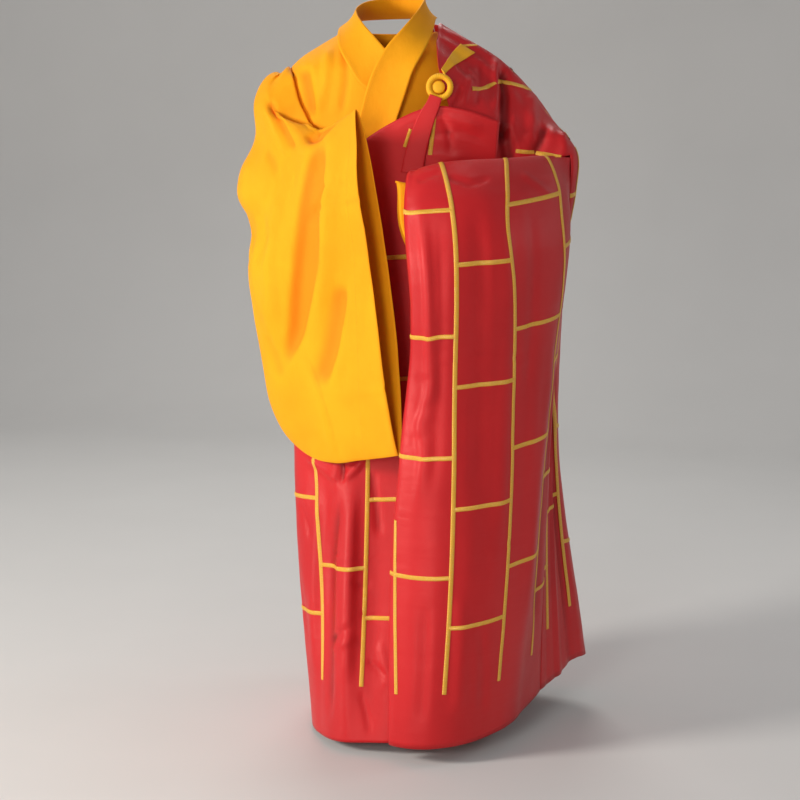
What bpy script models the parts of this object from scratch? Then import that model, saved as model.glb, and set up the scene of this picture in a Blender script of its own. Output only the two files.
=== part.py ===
"""A worn Buddhist monk's outfit as hollow cloth: a wide-sleeved yellow under-robe with a crossed collar, and a red
patchwork mantle that goes over the left shoulder, round the back, under the right arm, across the chest and over
the left forearm. Metres, +Z up, the front faces -Y, and the origin is at the base of the neck."""

import math

import bpy
import numpy as np

# Driving dimensions
ROBE_WALL = 0.0014
MANTLE_WALL = 0.0014
COLLAR_WALL = 0.0026
SEAM_GAP = 0.0004
TRIM_GAP = 0.0018
TRIM_WALL = 0.0010
TRIM_WIDTH = 0.0085

# The mantle's cut: strips of one pitch, each of four long blocks and one short, inside a plain border
STRIP_PITCH = 0.112
LONG_BLOCK = 0.220
SHORT_BLOCK = 0.126
BORDER = 0.105
MANTLE_HEIGHT = 4 * LONG_BLOCK + SHORT_BLOCK + 2 * BORDER

YELLOW = (0.90, 0.42, 0.012)
RED = (0.52, 0.010, 0.014)
GOLD = (0.80, 0.46, 0.08)


# Tables and interpolation

def table(columns, rows):
    """A short table of sections as named arrays."""
    values = np.array(rows, float)
    return {name: values[:, i] for i, name in enumerate(columns)}


def smooth(x, knots, values):
    """A smooth curve through the table's values, read at x; flat beyond both ends."""
    x = np.clip(np.asarray(x, float), knots[0], knots[-1])
    slope = np.gradient(values, knots)
    i = np.clip(np.searchsorted(knots, x, side="right") - 1, 0, len(knots) - 2)
    span = knots[i + 1] - knots[i]
    t = (x - knots[i]) / span
    a = 2 * t**3 - 3 * t**2 + 1
    b = t**3 - 2 * t**2 + t
    c = 3 * t**2 - 2 * t**3
    d = t**3 - t**2
    return a * values[i] + b * span * slope[i] + c * values[i + 1] + d * span * slope[i + 1]


def unit(vectors):
    return vectors / np.maximum(np.linalg.norm(vectors, axis=-1, keepdims=True), 1e-12)


def grid_normals(points, closed=False):
    """Normals of a grid of points; rows run up the first axis, columns along the second."""
    along = np.gradient(points, axis=0)
    if closed:
        across = (np.roll(points, -1, axis=1) - np.roll(points, 1, axis=1)) / 2
    else:
        across = np.gradient(points, axis=1)
    return unit(np.cross(across, along))


def bump(x):
    """A soft ridge, 1 at 0 and gone beyond 1."""
    return np.where(np.abs(x) < 1, 0.5 + 0.5 * np.cos(np.pi * np.clip(x, -1, 1)), 0.0)


def ramp(x, start, end):
    """0 at start and 1 at end, eased."""
    t = np.clip((np.asarray(x, float) - start) / (end - start), 0, 1)
    return t * t * (3 - 2 * t)


FOLD_COLUMNS = ("across", "lean", "width", "depth", "first", "last")


def folded(points, folds, across, down, closed=False):
    """Points moved along their normals by a table of folds. A fold sits at across + lean * down."""
    height = np.zeros(points.shape[:2])
    for row in folds:
        fold = dict(zip(FOLD_COLUMNS, row))
        middle = (fold["first"] + fold["last"]) / 2
        half = (fold["last"] - fold["first"]) / 2
        offset = across - fold["across"] - fold["lean"] * (down - middle)
        height += fold["depth"] * bump(offset / fold["width"]) * bump((down - middle) / half) ** 0.5
    return points + grid_normals(points, closed) * height[..., None]


# Objects

def material(name, colour, roughness, metallic=0.0):
    made = bpy.data.materials.new(name)
    made.use_nodes = True
    shader = made.node_tree.nodes["Principled BSDF"]
    shader.inputs["Base Color"].default_value = (*colour, 1)
    shader.inputs["Roughness"].default_value = roughness
    shader.inputs["Metallic"].default_value = metallic
    return made


def place(name, mesh, finish, collection):
    mesh.materials.append(finish)
    mesh.shade_smooth()
    mesh.set_sharp_from_angle(angle=math.radians(50))
    made = bpy.data.objects.new(name, mesh)
    collection.objects.link(made)
    return made


def cloth(name, points, wall, finish, collection, closed=False, keep=None):
    """A grid of points as a cloth wall, which grows from the points against the grid's normals."""
    rows, columns = points.shape[:2]
    faces = []
    for i in range(rows - 1):
        for j in range(columns if closed else columns - 1):
            if keep is None or keep(i, j):
                k = (j + 1) % columns
                faces.append((i * columns + j, i * columns + k, (i + 1) * columns + k, (i + 1) * columns + j))
    mesh = bpy.data.meshes.new(name)
    used = sorted({v for face in faces for v in face})
    number = {v: n for n, v in enumerate(used)}
    flat = points.reshape(-1, 3)
    mesh.from_pydata([flat[v] for v in used], [], [[number[v] for v in face] for face in faces])
    made = place(name, mesh, finish, collection)
    wall_maker = made.modifiers.new("wall", "SOLIDIFY")
    wall_maker.thickness = wall
    wall_maker.offset = -1
    return made


# The under-robe's body: level rings, from the hem up to the neck. A ring's angle is 0 in front and 90 on the
# right, at -X.

ROBE = table(
    ("height", "side", "front", "back", "front_drop"),
    (
        (-1.262, 0.118, 0.190, 0.148, 0.0),
        (-1.000, 0.134, 0.178, 0.141, 0.0),
        (-0.700, 0.152, 0.158, 0.136, 0.0),
        (-0.450, 0.166, 0.151, 0.132, 0.0),
        (-0.330, 0.178, 0.150, 0.130, 0.0),
        (-0.200, 0.192, 0.1485, 0.126, 0.0),
        (-0.120, 0.200, 0.1360, 0.116, 0.004),
        (-0.080, 0.192, 0.1289, 0.104, 0.012),
        (-0.055, 0.168, 0.1264, 0.095, 0.024),
        (-0.030, 0.128, 0.1230, 0.087, 0.040),
        (-0.008, 0.088, 0.1200, 0.080, 0.058),
    ),
)
ARMHOLE_TOP = -0.080
ARMHOLE_LOW = -0.265
ARMHOLE_HALF_ANGLE = 34.0


def robe_point(angle, height):
    """A point of the robe's body. The front of the upper rings drops towards the open neck."""
    turn = np.radians(angle)
    front = np.cos(turn) > 0
    depth = np.where(front, smooth(height, ROBE["height"], ROBE["front"]), smooth(height, ROBE["height"], ROBE["back"]))
    x = -smooth(height, ROBE["height"], ROBE["side"]) * np.sin(turn)
    y = -depth * np.cos(turn)
    drop = smooth(height, ROBE["height"], ROBE["front_drop"]) * np.clip(np.cos(turn), 0, 1) ** 2
    return np.stack(np.broadcast_arrays(x, y, height - drop), axis=-1)


ROBE_LEVELS = (-1.262, -1.05, -0.80, -0.58, -0.40, -0.265, -0.200, -0.145, -0.110, -0.080, -0.058, -0.038,
               -0.020, -0.008)


def overlap_angle(height):
    """Where the left front's edge crosses the right front: near the middle at the neck, on the right low down."""
    return smooth(height, np.array([-1.262, -0.5, -0.15, -0.03, -0.008]), np.array([34.0, 28.0, 4.0, -6.0, -6.0]))


def robe_panel(name, starts, ends, columns, hole_at_start, hole_at_end, finish, collection):
    """A panel of the body between two edges, with its share of the armholes."""
    levels = np.array(ROBE_LEVELS)
    share = np.linspace(0, 1, columns)
    angle = starts[:, None] + (ends - starts)[:, None] * share[None, :]
    points = robe_point(angle, levels[:, None] + 0 * angle)
    hole_columns = round(ARMHOLE_HALF_ANGLE / abs((ends - starts)[8] / (columns - 1)))

    def keep(i, j):
        in_rows = levels[i] > ARMHOLE_LOW - 0.001 and levels[i + 1] < ARMHOLE_TOP + 0.001
        at_start = hole_at_start and j < hole_columns
        at_end = hole_at_end and j >= columns - 1 - hole_columns
        return not (in_rows and (at_start or at_end))

    cloth(name, points, ROBE_WALL, finish, collection, keep=keep)
    return np.concatenate([points, grid_normals(points)], axis=-1), hole_columns


def build_robe_body(finish, collection):
    levels = np.array(ROBE_LEVELS)
    edge = overlap_angle(levels)
    gap = 0.12
    whole = np.ones(len(levels))
    left, left_hole = robe_panel("robe_front_left", -90 * whole + gap, edge - gap, 10, True, False, finish, collection)
    right, right_hole = robe_panel("robe_front_right", edge + gap, 90 * whole - gap, 10, False, True, finish, collection)
    back, back_hole = robe_panel("robe_back", 90 * whole + gap, 270 * whole - gap, 17, True, True, finish, collection)
    rows = [i for i, level in enumerate(levels) if ARMHOLE_LOW - 0.001 < level < ARMHOLE_TOP + 0.001]
    right_loop = armhole_loop(right, len(right[0]) - 1 - right_hole, back, back_hole, rows, False)
    left_loop = armhole_loop(left, left_hole, back, len(back[0]) - 1 - back_hole, rows, True)
    return right_loop, left_loop


def armhole_loop(front, front_column, back, back_column, rows, mirrored):
    """The armhole's edge and its normals: up the front, over the top, down the back and along the bottom."""
    step = -1 if mirrored else 1
    front_end = 0 if mirrored else front.shape[1] - 1
    back_end = back.shape[1] - 1 if mirrored else 0
    top, low = rows[-1], rows[0]
    loop = [front[i, front_column] for i in rows]
    loop += [front[top, j] for j in range(front_column + step, front_end + step, step)]
    loop += [back[top, j] for j in range(back_end + step, back_column + step, step)]
    loop += [back[i, back_column] for i in reversed(rows[:-1])]
    loop += [back[low, j] for j in range(back_column - step, back_end, -step)]
    loop += [front[low, j] for j in range(front_end, front_column, -step)]
    return np.array(loop)


# The collar: a band from the right front, round the neck, to the left front that lies over it. A row is a station
# along the band, with its inner edge at the neck and its outer edge on the robe.

COLLAR = table(
    ("inner_x", "inner_y", "inner_z", "outer_x", "outer_y", "outer_z"),
    (
        (0.042, -0.130, -0.066, 0.002, -0.140, -0.122),
        (0.022, -0.122, -0.044, -0.028, -0.137, -0.098),
        (-0.004, -0.108, -0.018, -0.050, -0.126, -0.068),
        (-0.030, -0.086, 0.006, -0.070, -0.104, -0.040),
        (-0.048, -0.054, 0.024, -0.082, -0.066, -0.014),
        (-0.056, -0.015, 0.038, -0.086, -0.010, 0.004),
        (-0.044, 0.040, 0.052, -0.066, 0.062, 0.016),
        (0.004, 0.066, 0.058, 0.004, 0.090, 0.020),
        (0.050, 0.042, 0.055, 0.071, 0.060, 0.019),
        (0.066, -0.015, 0.049, 0.087, -0.010, 0.013),
        (0.064, -0.062, 0.028, 0.092, -0.070, -0.016),
        (0.046, -0.104, -0.004, 0.087, -0.118, -0.048),
        (0.018, -0.128, -0.042, 0.074, -0.142, -0.080),
        (-0.004, -0.144, -0.090, 0.062, -0.151, -0.120),
        (-0.020, -0.152, -0.150, 0.046, -0.156, -0.170),
        (-0.036, -0.157, -0.215, 0.030, -0.160, -0.230),
    ),
)


def collar_points(stations, across):
    """Points of the collar band; it bows out a little across its width."""
    knots = np.arange(len(COLLAR["inner_x"]), dtype=float)
    where = np.linspace(0, knots[-1], stations)
    inner, outer = (
        np.stack([smooth(where, knots, COLLAR[f"{edge}_{axis}"]) for axis in "xyz"], axis=-1)
        for edge in ("inner", "outer")
    )
    share = np.linspace(0, 1, across)[:, None, None]
    points = inner[None] * (1 - share) + outer[None] * share
    normals = grid_normals(points)
    return points - normals * (0.004 * np.sin(np.pi * share))


def build_collar(finish, collection):
    points = collar_points(37, 4)
    cloth("robe_collar", points[:, ::-1], COLLAR_WALL, finish, collection)


# The sleeves: rings from the armhole to the cuff. A ring hangs between an inner point, at the arm's upper side,
# and an outer point; it bulges to the front and to the back of the line between them.

SLEEVE_COLUMNS = (
    "inner_x", "inner_y", "inner_z", "outer_x", "outer_y", "outer_z",
    "front_x", "front_y", "front_z", "back_x", "back_y", "back_z",
)
RIGHT_SLEEVE = table(
    SLEEVE_COLUMNS,
    (
        (-0.168, -0.098, -0.198, -0.214, 0.004, -0.088, -0.196, -0.082, -0.098, -0.206, 0.060, -0.262),
        (-0.148, -0.122, -0.188, -0.238, -0.010, -0.112, -0.212, -0.094, -0.124, -0.222, 0.056, -0.295),
        (-0.122, -0.150, -0.176, -0.254, -0.024, -0.170, -0.214, -0.120, -0.160, -0.234, 0.040, -0.335),
        (-0.104, -0.172, -0.182, -0.270, -0.034, -0.238, -0.212, -0.142, -0.205, -0.238, 0.012, -0.372),
        (-0.092, -0.180, -0.184, -0.277, -0.042, -0.305, -0.204, -0.158, -0.250, -0.234, -0.020, -0.400),
        (-0.086, -0.188, -0.184, -0.255, -0.060, -0.392, -0.190, -0.172, -0.300, -0.220, -0.052, -0.420),
        (-0.078, -0.198, -0.182, -0.250, -0.080, -0.470, -0.180, -0.184, -0.340, -0.203, -0.080, -0.430),
        (-0.066, -0.212, -0.176, -0.222, -0.104, -0.597, -0.160, -0.202, -0.395, -0.170, -0.116, -0.440),
        (-0.052, -0.227, -0.170, -0.195, -0.130, -0.706, -0.136, -0.222, -0.440, -0.140, -0.145, -0.450),
        (-0.038, -0.242, -0.164, -0.145, -0.163, -0.765, -0.100, -0.240, -0.465, -0.092, -0.176, -0.465),
        (-0.022, -0.259, -0.157, -0.068, -0.210, -0.784, -0.052, -0.264, -0.470, -0.040, -0.206, -0.470),
        (-0.008, -0.275, -0.151, 0.004, -0.250, -0.768, -0.006, -0.285, -0.460, 0.012, -0.232, -0.460),
        (0.004, -0.290, -0.146, 0.079, -0.290, -0.750, 0.034, -0.306, -0.450, 0.058, -0.262, -0.450),
    ),
)
LEFT_SLEEVE = table(
    SLEEVE_COLUMNS,
    (
        (0.212, -0.004, -0.104, 0.208, 0.005, -0.330, 0.200, -0.072, -0.190, 0.200, 0.078, -0.190),
        (0.262, -0.045, -0.172, 0.245, -0.010, -0.430, 0.222, -0.066, -0.260, 0.282, 0.020, -0.270),
        (0.302, -0.104, -0.268, 0.284, -0.072, -0.520, 0.270, -0.092, -0.390, 0.314, -0.080, -0.390),
        (0.268, -0.202, -0.268, 0.262, -0.184, -0.640, 0.248, -0.172, -0.440, 0.280, -0.220, -0.440),
        (0.196, -0.252, -0.266, 0.212, -0.226, -0.700, 0.190, -0.212, -0.470, 0.216, -0.262, -0.470),
        (0.135, -0.272, -0.274, 0.160, -0.248, -0.710, 0.140, -0.236, -0.480, 0.156, -0.280, -0.480),
        (0.072, -0.284, -0.270, 0.150, -0.250, -0.705, 0.104, -0.244, -0.450, 0.118, -0.286, -0.450),
    ),
)
# Where the armhole's loop meets a sleeve's quarter turns, as places along the loop.
RIGHT_TURNS = ((0, 1.5), (100, 4), (180, 7), (232, 12), (258, 14), (292, 17), (334, 20), (360, 21.2))
LEFT_TURNS = ((0, 27), (90, 22), (180, 17), (270, 12), (360, 7))
# The right sleeve hangs clear of the body and the wrap: no nearer than these half-widths.
CLEARANCE = table(
    ("height", "side", "front"),
    (
        (-0.800, 0.203, 0.226),
        (-0.450, 0.210, 0.198),
        (-0.330, 0.213, 0.192),
        (-0.260, 0.206, 0.158),
        (-0.120, 0.212, 0.142),
        (-0.080, 0.202, 0.134),
    ),
)
RIGHT_SLEEVE_FOLDS = (
    (70.0, 0.0, 34.0, -0.020, 1.5, 7.0),
    (124.0, 0.0, 20.0, 0.006, 2.5, 8.0),
    (36.0, 0.0, 18.0, 0.010, 3.0, 10.0),
    (96.0, 0.0, 34.0, -0.014, 7.0, 12.5),
    (56.0, 0.0, 22.0, 0.010, 8.0, 13.0),
)


def clear_of_body(points):
    side = smooth(points[..., 2], CLEARANCE["height"], CLEARANCE["side"])
    front = smooth(points[..., 2], CLEARANCE["height"], CLEARANCE["front"])
    reach = np.sqrt((points[..., 0] / side) ** 2 + (points[..., 1] / front) ** 2)
    out = np.maximum(1 / np.maximum(reach, 1e-6), 1)
    return points * np.stack([out, out, np.ones_like(out)], axis=-1)


def sleeve_points(rings, loop, turns, ring_count, around, folds):
    """Rings of a sleeve. The first stands just off the armhole's loop."""
    knots = np.arange(len(rings["inner_x"]), dtype=float)
    where = np.linspace(0, knots[-1], ring_count)
    inner, outer, front, back = (
        np.stack([smooth(where, knots, rings[f"{part}_{axis}"]) for axis in "xyz"], axis=-1)
        for part in ("inner", "outer", "front", "back")
    )
    middle = ((inner + outer) / 2)[:, None]
    degrees = np.arange(around) * 360 / around
    turn = np.radians(degrees)
    cosine, sine = np.cos(turn)[None, :, None], np.sin(turn)[None, :, None]
    bulge = np.where(sine > 0, (front[:, None] - middle) * sine, (middle - back[:, None]) * sine)
    points = middle + (inner[:, None] - middle) * cosine + bulge
    down = where[:, None] + 0 * points[..., 0]
    across = degrees[None, :] + 0 * down
    points = folded(points, folds, across, down, closed=True)
    place_on_loop = np.interp(degrees, *np.array(turns, float).T) % len(loop)
    i = place_on_loop.astype(int)
    share = (place_on_loop - i)[:, None]
    spots = loop[i] * (1 - share) + loop[(i + 1) % len(loop)] * share
    first = spots[:, :3] + unit(spots[:, 3:]) * (SEAM_GAP + 0.0016)
    sideways = np.array([np.sign(spots[0, 0]) * 2.0, 0, 0])
    second = spots[:, :3] + unit(unit(spots[:, 3:]) + sideways) * 0.013
    points[0] = points[0] * 0.45 + (second + sideways * 0.008) * 0.55
    return np.concatenate([first[None], second[None], points])


def build_sleeves(right_loop, left_loop, finish, collection):
    right = sleeve_points(RIGHT_SLEEVE, right_loop, RIGHT_TURNS, 21, 30, RIGHT_SLEEVE_FOLDS)
    right[3:] = clear_of_body(right[3:])
    cloth("robe_sleeve_right", right, ROBE_WALL, finish, collection, closed=True)
    left = sleeve_points(LEFT_SLEEVE, left_loop, LEFT_TURNS, 13, 20, ())
    cloth("robe_sleeve_left", left, ROBE_WALL, finish, collection, closed=True)


# The mantle: posts are drop lines of the cloth, each at its place along the cloth in strips. The forearm part runs
# from strip 0, at its left fold, to the elbow; the side part on to the left of the back; the wrap round the back and
# the right side to the free end on the chest.

ELBOW_STRIP = 3.6
BACK_STRIP = 6.85

WRAP_LEVELS = ("top", "upper", "high", "mid", "hem")
HIGH_HEIGHT = -0.450
MID_HEIGHT = -0.800
WRAP = table(
    ("strip", "top_x", "top_y", "top_z", "upper_x", "upper_y", "high_x", "high_y", "mid_x", "mid_y",
     "hem_x", "hem_y", "hem_z"),
    (
        (6.85, 0.066, 0.079, 0.010, 0.104, 0.126, 0.116, 0.138, 0.122, 0.148, 0.128, 0.164, -1.290),
        (7.45, 0.034, 0.094, -0.012, 0.050, 0.140, 0.054, 0.150, 0.058, 0.157, 0.062, 0.174, -1.297),
        (8.15, -0.034, 0.120, -0.075, -0.034, 0.143, -0.030, 0.151, -0.028, 0.159, -0.022, 0.177, -1.304),
        (8.95, -0.112, 0.126, -0.185, -0.114, 0.129, -0.112, 0.135, -0.108, 0.143, -0.096, 0.154, -1.310),
        (9.75, -0.174, 0.080, -0.300, -0.174, 0.083, -0.168, 0.087, -0.156, 0.092, -0.128, 0.097, -1.315),
        (10.45, -0.196, 0.004, -0.362, -0.195, 0.004, -0.190, 0.004, -0.175, 0.003, -0.138, 0.000, -1.318),
        (11.15, -0.180, -0.070, -0.345, -0.180, -0.072, -0.178, -0.075, -0.164, -0.086, -0.131, -0.104, -1.317),
        (11.85, -0.128, -0.128, -0.295, -0.128, -0.131, -0.128, -0.137, -0.119, -0.160, -0.098, -0.190, -1.312),
        (12.55, -0.052, -0.158, -0.232, -0.050, -0.166, -0.048, -0.172, -0.044, -0.200, -0.045, -0.248, -1.304),
        (13.25, 0.030, -0.168, -0.176, 0.030, -0.176, 0.030, -0.182, 0.030, -0.209, 0.022, -0.262, -1.297),
        (13.95, 0.112, -0.166, -0.142, 0.108, -0.170, 0.106, -0.177, 0.104, -0.204, 0.096, -0.256, -1.292),
        (14.55, 0.172, -0.158, -0.148, 0.164, -0.158, 0.160, -0.164, 0.162, -0.190, 0.166, -0.238, -1.288),
        (15.15, 0.230, -0.140, -0.168, 0.220, -0.140, 0.212, -0.148, 0.216, -0.170, 0.234, -0.204, -1.284),
    ),
)
# Across is in strips and down is in metres of height; a fold leans by so many strips to the metre.
WRAP_FOLDS = (
    (13.2, 0.6, 0.55, 0.010, -1.34, -0.74),
    (12.6, -0.5, 0.45, -0.012, -1.34, -0.62),
    (12.1, 0.8, 0.50, 0.012, -1.34, -0.70),
    (11.5, -0.4, 0.50, -0.010, -1.36, -0.50),
    (10.8, 0.5, 0.60, 0.012, -1.38, -0.50),
    (10.0, -0.5, 0.60, -0.014, -1.40, -0.45),
    (9.3, 0.4, 0.60, 0.013, -1.40, -0.35),
    (8.6, -0.3, 0.60, -0.013, -1.40, -0.30),
    (7.9, 0.4, 0.55, 0.010, -1.40, -0.25),
)


def post_heights(rows, strips):
    """The knots of each post: its top, half way to the high level, the high and middle levels, and its hem."""
    top = smooth(strips, rows["strip"], rows["top_z"])
    hem = smooth(strips, rows["strip"], rows["hem_z"])
    return np.array([hem, MID_HEIGHT + 0 * top, HIGH_HEIGHT + 0 * top, (HIGH_HEIGHT + top) / 2, top])


def wrap_grid(strips, rows):
    """The wrap's points: columns at the strips, rows from the hem to the top edge. Strips rise from the back."""
    knots = post_heights(WRAP, strips)
    share = np.linspace(0, 1, rows)
    height = knots[0] + (knots[-1] - knots[0]) * share[:, None]
    points = np.zeros((rows, len(strips), 3))
    for axis, letter in enumerate("xy"):
        known = [smooth(strips, WRAP["strip"], WRAP[f"{level}_{letter}"]) for level in reversed(WRAP_LEVELS)]
        for j in range(len(strips)):
            points[:, j, axis] = smooth(height[:, j], knots[:, j], np.array([level[j] for level in known]))
    points[..., 2] = height
    across = strips[None, :] + 0 * height
    return folded(points[:, ::-1], WRAP_FOLDS, across[:, ::-1], height[:, ::-1])[:, ::-1]


SIDE_LEVELS = ("neck", "top", "arm", "elbow", "high", "mid", "hem")
SIDE_SHARES = np.array([0.0, 0.11, 0.22, 0.33, 0.45, 0.72, 1.0])
SIDE = table(
    ("strip", "neck_x", "neck_y", "neck_z", "top_x", "top_y", "top_z", "arm_x", "arm_y", "arm_z",
     "elbow_x", "elbow_y", "elbow_z", "high_x", "high_y", "mid_x", "mid_y", "hem_x", "hem_y", "hem_z"),
    (
        (6.35, 0.084, 0.056, 0.006, 0.136, 0.086, -0.050, 0.190, 0.116, -0.165, 0.226, 0.132, -0.300,
         0.238, 0.138, 0.236, 0.142, 0.230, 0.170, -1.272),
        (5.85, 0.093, 0.018, 0.008, 0.168, 0.050, -0.050, 0.250, 0.078, -0.156, 0.302, 0.096, -0.290,
         0.302, 0.104, 0.294, 0.110, 0.318, 0.156, -1.246),
        (5.40, 0.095, -0.006, 0.007, 0.190, 0.016, -0.052, 0.282, 0.026, -0.150, 0.334, 0.040, -0.275,
         0.325, 0.050, 0.314, 0.066, 0.368, 0.120, -1.226),
        (5.00, 0.096, -0.022, 0.003, 0.200, -0.012, -0.058, 0.290, -0.014, -0.150, 0.346, -0.008, -0.252,
         0.328, 0.000, 0.313, 0.026, 0.356, 0.080, -1.222),
        (4.40, 0.098, -0.040, -0.004, 0.202, -0.034, -0.064, 0.291, -0.046, -0.158, 0.352, -0.046, -0.236,
         0.330, -0.044, 0.312, -0.024, 0.332, 0.020, -1.236),
        (3.60, 0.103, -0.060, -0.016, 0.197, -0.062, -0.075, 0.286, -0.080, -0.170, 0.350, -0.096, -0.228,
         0.331, -0.096, 0.315, -0.080, 0.303, -0.044, -1.250),
        (3.00, 0.104, -0.081, -0.029, 0.178, -0.096, -0.089, 0.252, -0.114, -0.182, 0.260, -0.120, -0.262,
         0.312, -0.112, 0.300, -0.100, 0.290, -0.060, -1.250),
        (2.40, 0.110, -0.108, -0.051, 0.156, -0.127, -0.105, 0.202, -0.139, -0.191, 0.216, -0.136, -0.278,
         0.270, -0.112, 0.270, -0.100, 0.280, -0.060, -1.250),
        (1.80, 0.117, -0.132, -0.074, 0.133, -0.150, -0.117, 0.157, -0.152, -0.200, 0.176, -0.142, -0.285,
         0.240, -0.100, 0.250, -0.090, 0.270, -0.060, -1.250),
    ),
)
SIDE_FOLDS = (
    (4.6, 0.0, 0.60, -0.008, -0.06, 0.30),
    (3.2, 0.0, 0.55, 0.008, -0.02, 0.26),
    (6.2, 0.0, 0.45, 0.010, 0.20, 1.20),
    (5.2, 0.6, 0.50, -0.008, 0.40, 1.20),
)


def side_grid(strips, shares):
    """The side's points: columns at falling strips, rows at the shares of the drop from the neck edge. The
    first column is the wrap's own edge, moved out by the seam gap."""
    grids = []
    for axis, letter in enumerate("xyz"):
        flat = {"high_z": HIGH_HEIGHT, "mid_z": MID_HEIGHT}
        known = []
        for level in SIDE_LEVELS:
            name = f"{level}_{letter}"
            values = SIDE[name] if name in SIDE else np.full(len(SIDE["strip"]), flat.get(name, 0.0))
            known.append(smooth(strips, SIDE["strip"][::-1], values[::-1]))
        known = np.array(known)
        grids.append(np.stack([smooth(shares, SIDE_SHARES, known[:, j]) for j in range(len(strips))], axis=1))
    points = np.stack(grids, axis=-1)
    knots = post_heights(WRAP, np.array([BACK_STRIP]))[:, 0]
    drops = smooth(shares, SIDE_SHARES, np.array([0.010, -0.055, -0.165, -0.300, -0.450, -0.800, -1.290]))
    edge = [smooth(drops, knots, np.array([WRAP[f"{level}_{letter}"][0] for level in reversed(WRAP_LEVELS)]))
            for letter in "xy"]
    seam = np.stack([edge[0] + SEAM_GAP + 0.0008, edge[1], drops], axis=-1)
    near = ramp(strips, 6.35, BACK_STRIP)[None, :, None]
    points = points * (1 - near) + seam[:, None] * near
    across = strips[None, :] + 0 * points[..., 0]
    down = shares[:, None] + 0 * points[..., 0]
    return folded(points[::-1], SIDE_FOLDS, across[::-1], down[::-1])[::-1]


# The forearm part: its tucked edge behind the forearm, the crest over it, the front just below, and the drop.

DRAPE = table(
    ("strip", "tuck_x", "tuck_y", "tuck_z", "crest_x", "crest_y", "crest_z", "front_x", "front_y", "front_z",
     "mid_x", "mid_y", "low_x", "low_y", "hem_x", "hem_y", "hem_z"),
    (
        (-0.55, 0.128, -0.262, -0.330, 0.140, -0.306, -0.330, 0.148, -0.312, -0.350, 0.140, -0.292,
         0.112, -0.276, 0.106, -0.274, -1.284),
        (-0.15, 0.110, -0.262, -0.330, 0.110, -0.310, -0.318, 0.112, -0.316, -0.340, 0.106, -0.292,
         0.074, -0.274, 0.070, -0.273, -1.287),
        (0.10, 0.106, -0.242, -0.318, 0.093, -0.296, -0.262, 0.092, -0.327, -0.304, 0.089, -0.303,
         0.062, -0.284, 0.058, -0.282, -1.289),
        (0.40, 0.112, -0.238, -0.318, 0.106, -0.294, -0.252, 0.104, -0.338, -0.296, 0.100, -0.318,
         0.084, -0.298, 0.080, -0.292, -1.290),
        (1.00, 0.132, -0.222, -0.310, 0.152, -0.282, -0.238, 0.172, -0.328, -0.276, 0.184, -0.322,
         0.176, -0.304, 0.156, -0.290, -1.286),
        (2.00, 0.206, -0.170, -0.305, 0.246, -0.226, -0.232, 0.272, -0.262, -0.268, 0.278, -0.252,
         0.266, -0.236, 0.242, -0.216, -1.278),
        (3.00, 0.268, -0.130, -0.268, 0.318, -0.150, -0.230, 0.341, -0.162, -0.262, 0.327, -0.144,
         0.310, -0.128, 0.288, -0.104, -1.262),
        (3.60, 0.332, -0.112, -0.270, 0.349, -0.098, -0.232, 0.350, -0.0985, -0.262, 0.328, -0.0835,
         0.316, -0.066, 0.305, -0.046, -1.250),
    ),
)
DRAPE_KNOTS = np.array([-0.11, 0.0, 0.05, 0.42, 0.72, 1.0])
DRAPE_MID_HEIGHT = -0.660
DRAPE_LOW_HEIGHT = -0.980
DRAPE_FOLDS = (
    (0.75, 0.0, 0.35, 0.007, 0.10, 1.20),
    (1.35, 0.4, 0.30, -0.006, 0.02, 0.80),
    (2.55, -0.3, 0.40, 0.007, 0.00, 1.20),
)


def drape_grid(strips, downs, side_edge):
    """The forearm part's points: rows from the tucked edge, over the crest at 0, to the hem at 1. Its last
    column follows the side part's edge."""
    knots = DRAPE["strip"]
    read = {name: smooth(strips, knots, DRAPE[name]) for name in DRAPE}
    read["mid_z"] = np.full(len(strips), DRAPE_MID_HEIGHT)
    read["low_z"] = np.full(len(strips), DRAPE_LOW_HEIGHT)
    lines = [np.stack([read[f"{level}_{axis}"] for axis in "xyz"], axis=-1)
             for level in ("tuck", "crest", "front", "mid", "low", "hem")]
    flat = np.array(lines).reshape(6, -1)
    points = np.stack([smooth(downs, DRAPE_KNOTS, flat[:, k]) for k in range(flat.shape[1])], axis=-1)
    points = points.reshape(len(downs), len(strips), 3)
    across = strips[None, :] + 0 * points[..., 0]
    down = downs[:, None] + 0 * points[..., 0]
    points = folded(points[::-1], DRAPE_FOLDS, across[::-1], down[::-1])[::-1]
    low = downs > -0.001
    heights = points[low, -1, 2]
    edge = [np.interp(-heights, -side_edge[:, 2], side_edge[:, axis]) for axis in (0, 1)]
    points[low, -1, 0], points[low, -1, 1] = edge[0], edge[1] - 0.0016
    return points


# The gold trim: a brick pattern sewn on the mantle. Each part of the mantle has one lattice, made on the part's own
# facets and moved out.

def read_grid(points, row, column):
    """A point of the part's facets, at a row and a column that need not be whole."""
    i = int(min(max(math.floor(row), 0), points.shape[0] - 2))
    j = int(min(max(math.floor(column), 0), points.shape[1] - 2))
    a, b = row - i, column - j
    low = points[i, j] * (1 - b) + points[i, j + 1] * b
    high = points[i + 1, j] * (1 - b) + points[i + 1, j + 1] * b
    return low * (1 - a) + high * a


def block_lines(strip):
    """The heights above the hem of the cross lines between this line and the next: odd strips start with the
    short block."""
    first = BORDER + (SHORT_BLOCK if strip % 2 == 1 else LONG_BLOCK)
    return [first + LONG_BLOCK * k for k in range(4)] + [MANTLE_HEIGHT - BORDER]


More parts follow.
